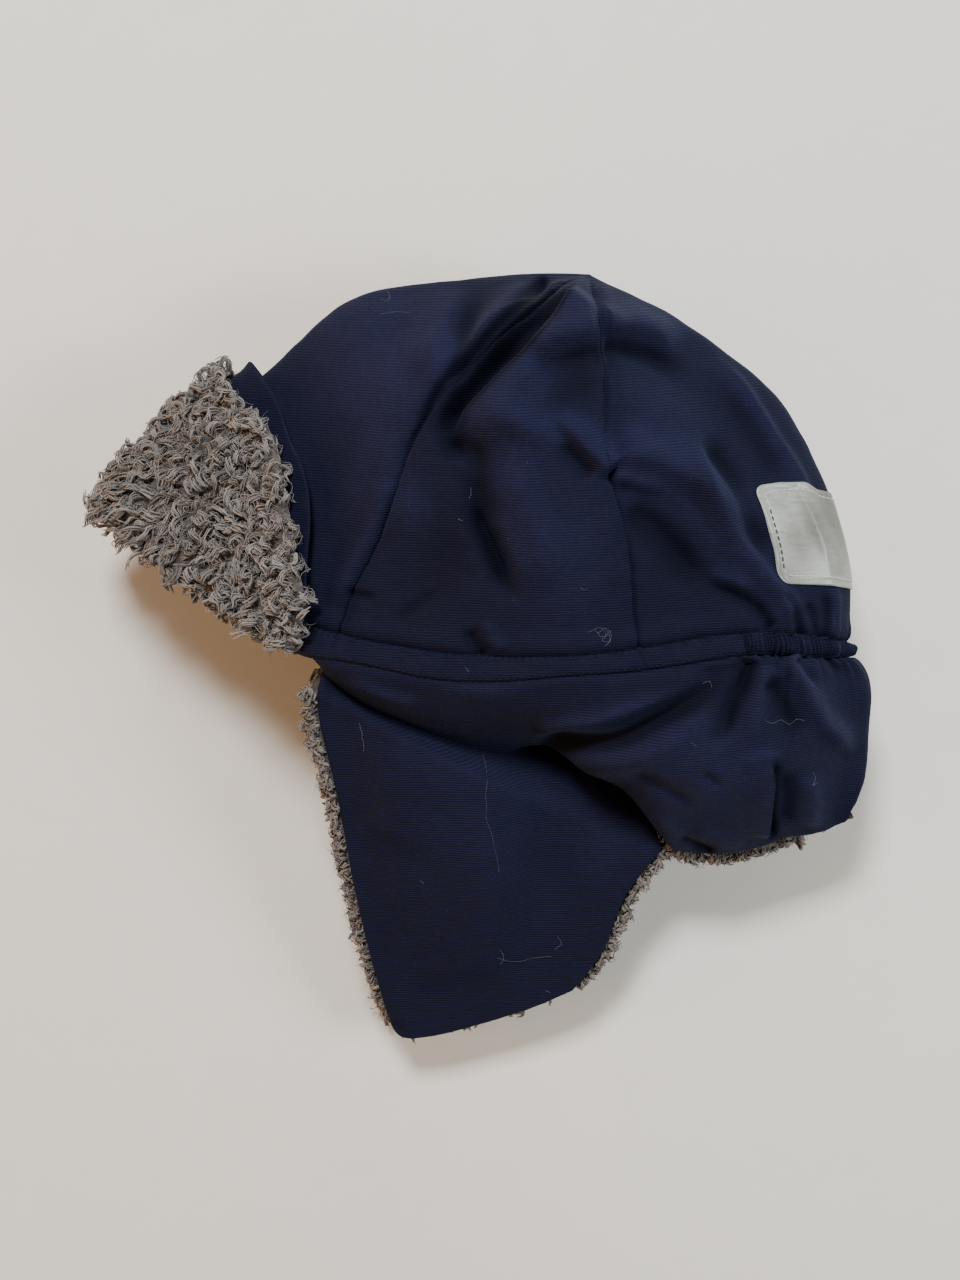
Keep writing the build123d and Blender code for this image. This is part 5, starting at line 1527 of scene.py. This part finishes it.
visor_locks_c = tufts("visor_locks_lower", _p2 - _n2 * 0.8, _n2, _fl2, RNG, PILE_VISOR, length=(5.0, 8.0), fuzz=0, radius=(0.46, 0.66), curl=(0.7, 1.5), turns=(0.5, 1.2), rise=0.35, seg=7, sides=3)
_hp, _hn = scatter(_Pk, _Nk, 4.2, RNG)
_ho = _hn + RNG.normal(0, 0.6, _hn.shape)
_ho /= np.linalg.norm(_ho, axis=1, keepdims=True)
visor_hairs = hairs("visor_stray_fibres", _hp + _hn * 1.5, _ho, RNG, PILE_VISOR, (2.4, 4.6), 0.09, 0.75)
for _o in (visor_locks_a, visor_locks_b, visor_locks_d, visor_locks_c, visor_fuzz, visor_hairs):
    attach(_o, "visor")

# --- crown lining: one closed pocket of pile inside the cloth, in two halves
_lr = steps(crown([math.pi / 2], _tt0 := np.linspace(0, 1.0, 400))[:, 0], _tt0, lambda x, rest, v: 2.2)
_lr = np.r_[-0.62, -0.3, _lr[_lr < 0.90]]
LIN = {}
for _name, _a0, _a1, _node in (("crown_pile_left", 0.0, math.pi, "crown_lining_left"), ("crown_pile_right", math.pi, TWO_PI, "crown_lining_right")):
    _th = columns(_a0, _a1, 0.38, 2.2, 2.6, 1.6)
    _P, _N = crown_surface(_th, _lr, False, False)
    _P2 = _P.copy()
    for _k in range(2):
        _P2[1:-1, 1:-1] = (_P2[1:-1, 1:-1] * 2 + _P2[:-2, 1:-1] + _P2[2:, 1:-1] + _P2[1:-1, :-2] + _P2[1:-1, 2:]) / 6
    _ob, _lo, _ = closed_mat(_name, _P2, _N, 6.2, 10.5, BACKING, R=2.2, fine=4.2, amp=0.9, edges=(False, False, True, True))
    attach(_ob, "hat"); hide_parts(_node)
    LIN[_name] = (_ob, _lo, _N)


def lining_tufts(name, lo, N, spacing, rng, body, length=(3.6, 6.2), keep=None, strands=3, wild=1.0, lean=(0, 0, 0)):
    inn = -N
    p, nn = scatter(lo, inn, spacing, rng, keep)
    # none at the back seam, where they would show between the casing and the skirt
    away = ~((p[:, 0] > 112) & (np.abs(p[:, 1]) < 10))
    p, nn = p[away], nn[away]
    fl = rng.normal(0, wild, p.shape) + np.array(lean)
    return tufts(name, p - nn * 0.7, nn, fl, rng, PILE_LINING, length=length, strands=strands, fuzz=0, radius=(0.46, 0.68), curl=(0.8, 1.6), turns=(0.5, 1.2), rise=0.42, seg=6, sides=3, spread=0.6)


_near_mouth = lambda p: (p[:, 1] < 62)
for _name, _lock in (("crown_pile_left", "crown_locks_left"), ("crown_pile_right", "crown_locks_right")):
    _ob, _lo, _N = LIN[_name]
    _t = lining_tufts(_lock, _lo, _N, 3.9, RNG, "hat", keep=_near_mouth)
    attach(_t, "hat")
    LIN[_lock] = _t

# --- skirt and neck lining
def skirt_lining(name, lock_name, theta, which):
    w = np.linspace(0, 1, 32)
    base = (skirt_upper if which == "left" else skirt_plain)(theta, w)
    sign = 1.0 if which == "left" else -1.0
    n = outward(base, np.array([0, 0, sign]))
    P = sculpt(base, n, SKIRT_FOLDS, 1.65, 0.5) if which == "left" else base.copy()
    for _ in range(3):
        P[1:-1, 1:-1] = (P[1:-1, 1:-1] * 2 + P[:-2, 1:-1] + P[2:, 1:-1] + P[1:-1, :-2] + P[1:-1, 2:]) / 6
    n = outward(P, np.array([0, 0, sign]))
    s = share(theta)
    hem = smooth(s, 0.735, 0.765)
    d = P[-1] - P[-2]
    d /= np.linalg.norm(d, axis=1, keepdims=True)
    hem_shown = hem * (1 - smooth(s, 0.925, 0.955)) if which == "left" else hem
    out = 4.0 * hem_shown + 0.8 * noise(round_run(theta) / 3.0, 0 * theta, 8) * hem_shown
    P[-1] += d * out[:, None]
    P[-2] += d * (out * 0.5)[:, None]
    # it stops short of the ear flap's fold, where the flap's own lining takes over
    short = (1 - hem) * 5.0
    P[-1] -= d * short[:, None]
    P[-2] -= d * (short * 0.8)[:, None]
    P[-3] -= d * (short * 0.4)[:, None]
    ob, lo, _ = closed_mat(name, P, n, 2.6 if which == "left" else 2.2, 6.6, BACKING, R=2.6, fine=4.0, amp=0.7, edges=(True, True, False, True), floor=0.4)
    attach(ob, "hat")
    t = lining_tufts(lock_name, lo, n, 3.9, RNG, "hat", keep=lambda p: ~((hat_to_sheet(p)[:, 0] > 822) & (hat_to_sheet(p)[:, 1] > 775)))
    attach(t, "hat")
    return ob, t, P, n


_th1 = steps(skirt_upper(_tt1 := np.linspace(TH_T + 0.03, math.pi + 0.3, 900), np.array([0.5]))[0], _tt1, lambda x, rest, th: 2.2)
lin_skirt_l, lock_skirt_l, PS_L, NS_L = skirt_lining("neck_pile_left", "neck_locks_left", _th1, "left")
_th2 = steps(skirt_plain(_tt2 := np.linspace(math.pi + 0.3, TWO_PI - TH_T - 0.03, 900), np.array([0.5]))[0], _tt2, lambda x, rest, th: 2.4)
lin_skirt_r, lock_skirt_r, PS_R, NS_R = skirt_lining("neck_pile_right", "neck_locks_right", _th2, "right")
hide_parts("skirt_lining")


def rim(name, line, n, out, rng, body, step=0.95, length=(2.6, 5.0), back=1.6, down=2.8, strands=3, rows=3, lift=0.12):
    """Locks that stand out from under a cloth edge."""
    d = run_of(line)
    k = int(d[-1] / step)
    P, N, O = [], [], []
    for row in range(rows):
        x = (np.arange(k) + rng.random(k)) * d[-1] / k
        p = np.stack([np.interp(x, d, line[:, i]) for i in range(3)], 1)
        nn = np.stack([np.interp(x, d, n[:, i]) for i in range(3)], 1)
        oo = np.stack([np.interp(x, d, out[:, i]) for i in range(3)], 1)
        nn /= np.linalg.norm(nn, axis=1, keepdims=True)
        oo /= np.maximum(np.linalg.norm(oo, axis=1, keepdims=True), 1e-9)
        P.append(p - oo * (back * rng.uniform(0.2, 1.2, k))[:, None] - nn * ((down + 0.9 * row) * rng.uniform(0.92, 1.12, k))[:, None])
        N.append(nn)
        O.append(oo + rng.normal(0, 0.75, (k, 3)))
    P, N, O = np.concatenate(P), np.concatenate(N), np.concatenate(O)
    return tufts(name, P, N, O, rng, PILE_LINING, length=length, strands=strands, radius=(0.32, 0.48), fuzz=1, curl=(0.7, 1.4), turns=(0.5, 1.3), rise=lift, seg=8, spread=0.5, sides=3, press=-0.6)


def hem_rim(name, P, n, theta, lo_s, body):
    s = share(theta)
    keep = (s > lo_s) & (s < (0.915 if "left" in name else 0.925)) & (theta < math.pi if "left" in name else theta > math.pi)
    line, nn = P[-1][keep], n[-1][keep]
    out = (P[-1] - P[-3])[keep]
    return rim(name, line, nn, out, RNG, body, length=(2.8, 5.0), back=1.5)


rim_neck_l = hem_rim("neck_hem_locks_left", PS_L, NS_L, _th1, 0.735, "hat")
rim_neck_r = hem_rim("neck_hem_locks_right", PS_R, NS_R, _th2, 0.735, "hat")
for _o in (rim_neck_l, rim_neck_r):
    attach(_o, "hat")


# --- ear flap linings
def flap_lining(side, node):
    back = np.array([11.0, 8.5, 6.0, 4.0, 2.0] if side == "left" else [3.0, 1.5])
    base, n, front, rear, low, nb, us, vs = flap_surface(side, 1.1, 2.3, back)
    P = sculpt(base, n, FLAP_FOLDS, 1.3) if side == "left" else base
    m = P.shape[0]
    rowv = np.r_[np.zeros(nb), vs]
    # the pile shows past the front edge, and a little past the others
    d = P[:, 0] - P[:, 1]; d /= np.linalg.norm(d, axis=1, keepdims=True)
    out = 3.0 * smooth(rowv, 0.0, 0.10) + 0.5 * noise(rowv * 30, 0 * rowv, 3)
    P = P.copy()
    P[:, 0] += d * out[:, None]; P[:, 1] += d * (out * 0.6)[:, None]
    d2 = P[:, -1] - P[:, -2]; d2 /= np.linalg.norm(d2, axis=1, keepdims=True)
    out2 = 1.8 * smooth(rowv, 0.02, 0.12)
    P[:, -1] += d2 * out2[:, None]
    d3 = P[-1] - P[-2]; d3 /= np.linalg.norm(d3, axis=1, keepdims=True)
    P[-1] += d3 * (0.6 * (1 - smooth(us, 0.0, 0.2)) - 0.4)[:, None]
    deep = lerp(7.2, 5.6, smooth(rowv, 0.6, 1.0))[:, None] + 0 * P[..., 0]
    ob, lo, mid = closed_mat(f"ear_flap_{side}_pile", P, n, 2.5 if side == "left" else 2.4, deep, BACKING, R=2.6, fine=4.0, amp=0.6, floor=(0.5 if side == "left" else 0.4))
    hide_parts(node)
    t = lining_tufts(f"ear_flap_{side}_locks", lo[nb:], n[nb:], 3.5, RNG, None, length=(3.6, 6.0), lean=(0, -0.3, 0))
    body = f"ear_flap_{side}"
    _k0 = nb + int(np.argmax(vs > 0.05))
    front_line, front_n = P[_k0:, 0], n[_k0:, 0]
    r1 = rim(f"ear_flap_{side}_front_locks", front_line, front_n, d[_k0:], RNG, body, step=0.85, length=(2.6, 5.2), back=2.2, down=3.0)
    rear_line = P[nb + 1:, -1]
    r2 = rim(f"ear_flap_{side}_rear_locks", rear_line, n[nb + 1:, -1], d2[nb + 1:], RNG, body, step=0.95, length=(2.4, 4.6), back=1.6, down=3.0)
    r3 = rim(f"ear_flap_{side}_low_locks", P[-1, :-1], n[-1, :-1], d3[:-1], RNG, body, step=2.4, length=(0.9, 1.5), back=6.0, down=4.4)
    for o in (ob, t, r1, r2, r3):
        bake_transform(o)
    return ob, (t, r1, r2, r3)


flap_lin_l, flap_locks_l = flap_lining("left", "ear_flap_left_lining")
flap_lin_r, flap_locks_r = flap_lining("right", "ear_flap_right_lining")


# ---------------------------------------------------------------- lint on the cloth


def drape_line(points, lift=0.35, wander=0.0, seed=0):
    """A fibre that lies on whatever cloth is on top along a line of the drawing sheet."""
    f = np.linspace(0, 1, 6 * len(points) + 8)
    p = curve(points, f) if len(points) > 2 else lerp(np.array(points[0], float), np.array(points[1], float), f[:, None])
    p = p + wander * np.stack([noise(f * 9, 0 * f, seed), noise(f * 9, 0 * f + 5, seed + 1)], 1)
    out = []
    for u, v in p:
        far = Vector(sheet_to_hat(u, v, 0.0) * MM)
        eye = Vector(EYE * MM)
        best = None
        for tree in TREES:
            hit = tree.ray_cast(eye, (far - eye).normalized())
            if hit[0] is not None and (best is None or hit[3] < best[1]):
                best = (hit[0], hit[3])
        if best is not None:
            out.append(np.array(best[0]) / MM + [0, 0, lift])
    return np.array(out)


TREES = []
for _o in (front_panel, side_left, back_panel, skirt_left, flap_left, casing_left, casing_back):
    _v = np.empty(len(_o.data.vertices) * 3)
    _o.data.vertices.foreach_get("co", _v)
    _v = _v.reshape(-1, 3) @ np.array(_o.matrix_world.to_3x3()).T + np.array(_o.matrix_world.translation)
    TREES.append(BVHTree.FromPolygons([tuple(x) for x in _v], [tuple(f.vertices) for f in _o.data.polygons]))
LINTS = [
    ([(380, 315), (388, 313), (398, 312), (410, 313)], 0.05, 0.4), ([(379, 292), (384, 290), (389, 295), (387, 301), (381, 299)], 0.06, 0.8),
    ([(470, 487), (471, 493), (469, 499)], 0.06, 0.5), ([(590, 632), (598, 628), (606, 634), (602, 640), (610, 641), (604, 629)], 0.06, 1.6),
    ([(598, 634), (606, 628), (611, 636), (607, 645)], 0.06, 1.6), ([(595, 630), (604, 637), (611, 630)], 0.06, 1.2),
    ([(580, 587), (584, 590), (588, 588)], 0.06, 0.8), ([(458, 519), (462, 521)], 0.10, 0.3),
    ([(703, 684), (709, 681), (712, 687)], 0.06, 0.6), ([(465, 667), (469, 672)], 0.06, 0.3),
]
LINTS_SKIRT = [([(765, 720), (773, 724), (781, 719), (789, 725), (797, 719), (804, 722)], 0.06, 1.2), ([(812, 772), (816, 778), (812, 785), (818, 783)], 0.06, 1.0), ([(690, 742), (696, 746)], 0.06, 0.4)]
LINTS_FLAP = [([(483, 754), (487, 784), (486, 814), (493, 842), (499, 872)], 0.045, 1.2), ([(359, 722), (362, 736), (364, 751)], 0.06, 0.8),
              ([(497, 958), (515, 962), (534, 958), (552, 956)], 0.05, 0.8), ([(500, 965), (504, 957), (500, 950)], 0.06, 0.8), ([(557, 936), (561, 944), (555, 949)], 0.06, 0.8), ([(420, 880), (424, 884)], 0.06, 0.3), ([(545, 990), (551, 993)], 0.06, 0.4)]


def lint(name, specs, seed):
    lines, radii = [], []
    for k, (pts, r, wander) in enumerate(specs):
        q = drape_line(pts, 0.25, wander, seed + k)
        if len(q) > 3:
            for _ in range(2):
                q[1:-1] = (q[:-2] + 2 * q[1:-1] + q[2:]) / 4
            lines.append(q); radii.append(np.full(len(q), r))
    return tubes(name, lines, radii, LINT, 4)


lint_crown = lint("lint_on_crown", LINTS, 300)
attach(lint_crown, "hat")
lint_skirt = lint("lint_on_neck_flap", LINTS_SKIRT, 340)
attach(lint_skirt, "hat")
lint_flap = lint("lint_on_ear_flap", LINTS_FLAP, 380)
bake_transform(lint_flap)


# ---------------------------------------------------------------- camera, light and floor
scene = bpy.context.scene
cam = bpy.data.objects.new("camera", bpy.data.cameras.new("camera"))
scene.collection.objects.link(cam)
cam.location = (0.00035, 0.0089, 0.700)
cam.rotation_euler = (0, 0, 0)
cam.data.lens = 50.78
cam.data.sensor_width = 36
cam.data.clip_start = 0.01
scene.camera = cam

n = Nodes("pale_table")
_base = n.ramp(n.math("ADD", n.math("MULTIPLY", n.noise(3.0, 3.0, 0.5), 0.7), n.math("MULTIPLY", n.noise(60, 3.0, 0.6), 0.3)), [(0.3, srgb(222, 217, 209)), (0.7, srgb(229, 225, 217))])
FLOOR = n.finish(_base, 0.55, n.bump(n.noise(900, 3.0, 0.6), 0.00006, 0.4), Specular_IOR_Level=0.3)
_v = np.array([[-3000, -3000, 0], [3000, -3000, 0], [3000, 3000, 0], [-3000, 3000, 0]], float)
floor = build("table_surface", _v, np.array([[0, 1, 2, 3]]), FLOOR)


def area_light(name, place, aim, size_x, size_y, energy, colour):
    d = bpy.data.lights.new(name, "AREA")
    d.shape = "RECTANGLE"
    d.size, d.size_y, d.energy, d.color = size_x, size_y, energy, colour
    o = bpy.data.objects.new(name, d)
    scene.collection.objects.link(o)
    o.location = place
    o.rotation_euler = (Vector(aim) - Vector(place)).to_track_quat("-Z", "Y").to_euler()
    return o


area_light("window", (-0.26, 1.02, 1.48), (0.02, 0.0, 0.03), 0.46, 0.36, 44.0, (0.97, 0.985, 1.0))
area_light("warm_fill", (-1.25, -0.30, 0.50), (-0.06, 0.0, 0.02), 0.9, 0.5, 13.0, (1.0, 0.54, 0.22))
area_light("cool_fill", (0.95, -0.08, 0.78), (0.10, 0.0, 0.03), 0.45, 0.45, 11.5, (0.95, 0.99, 1.0))
world = bpy.data.worlds.new("soft_room")
scene.world = world
world.use_nodes = True
world.node_tree.nodes["Background"].inputs["Color"].default_value = (0.96, 0.96, 0.95, 1)
world.node_tree.nodes["Background"].inputs["Strength"].default_value = 0.13
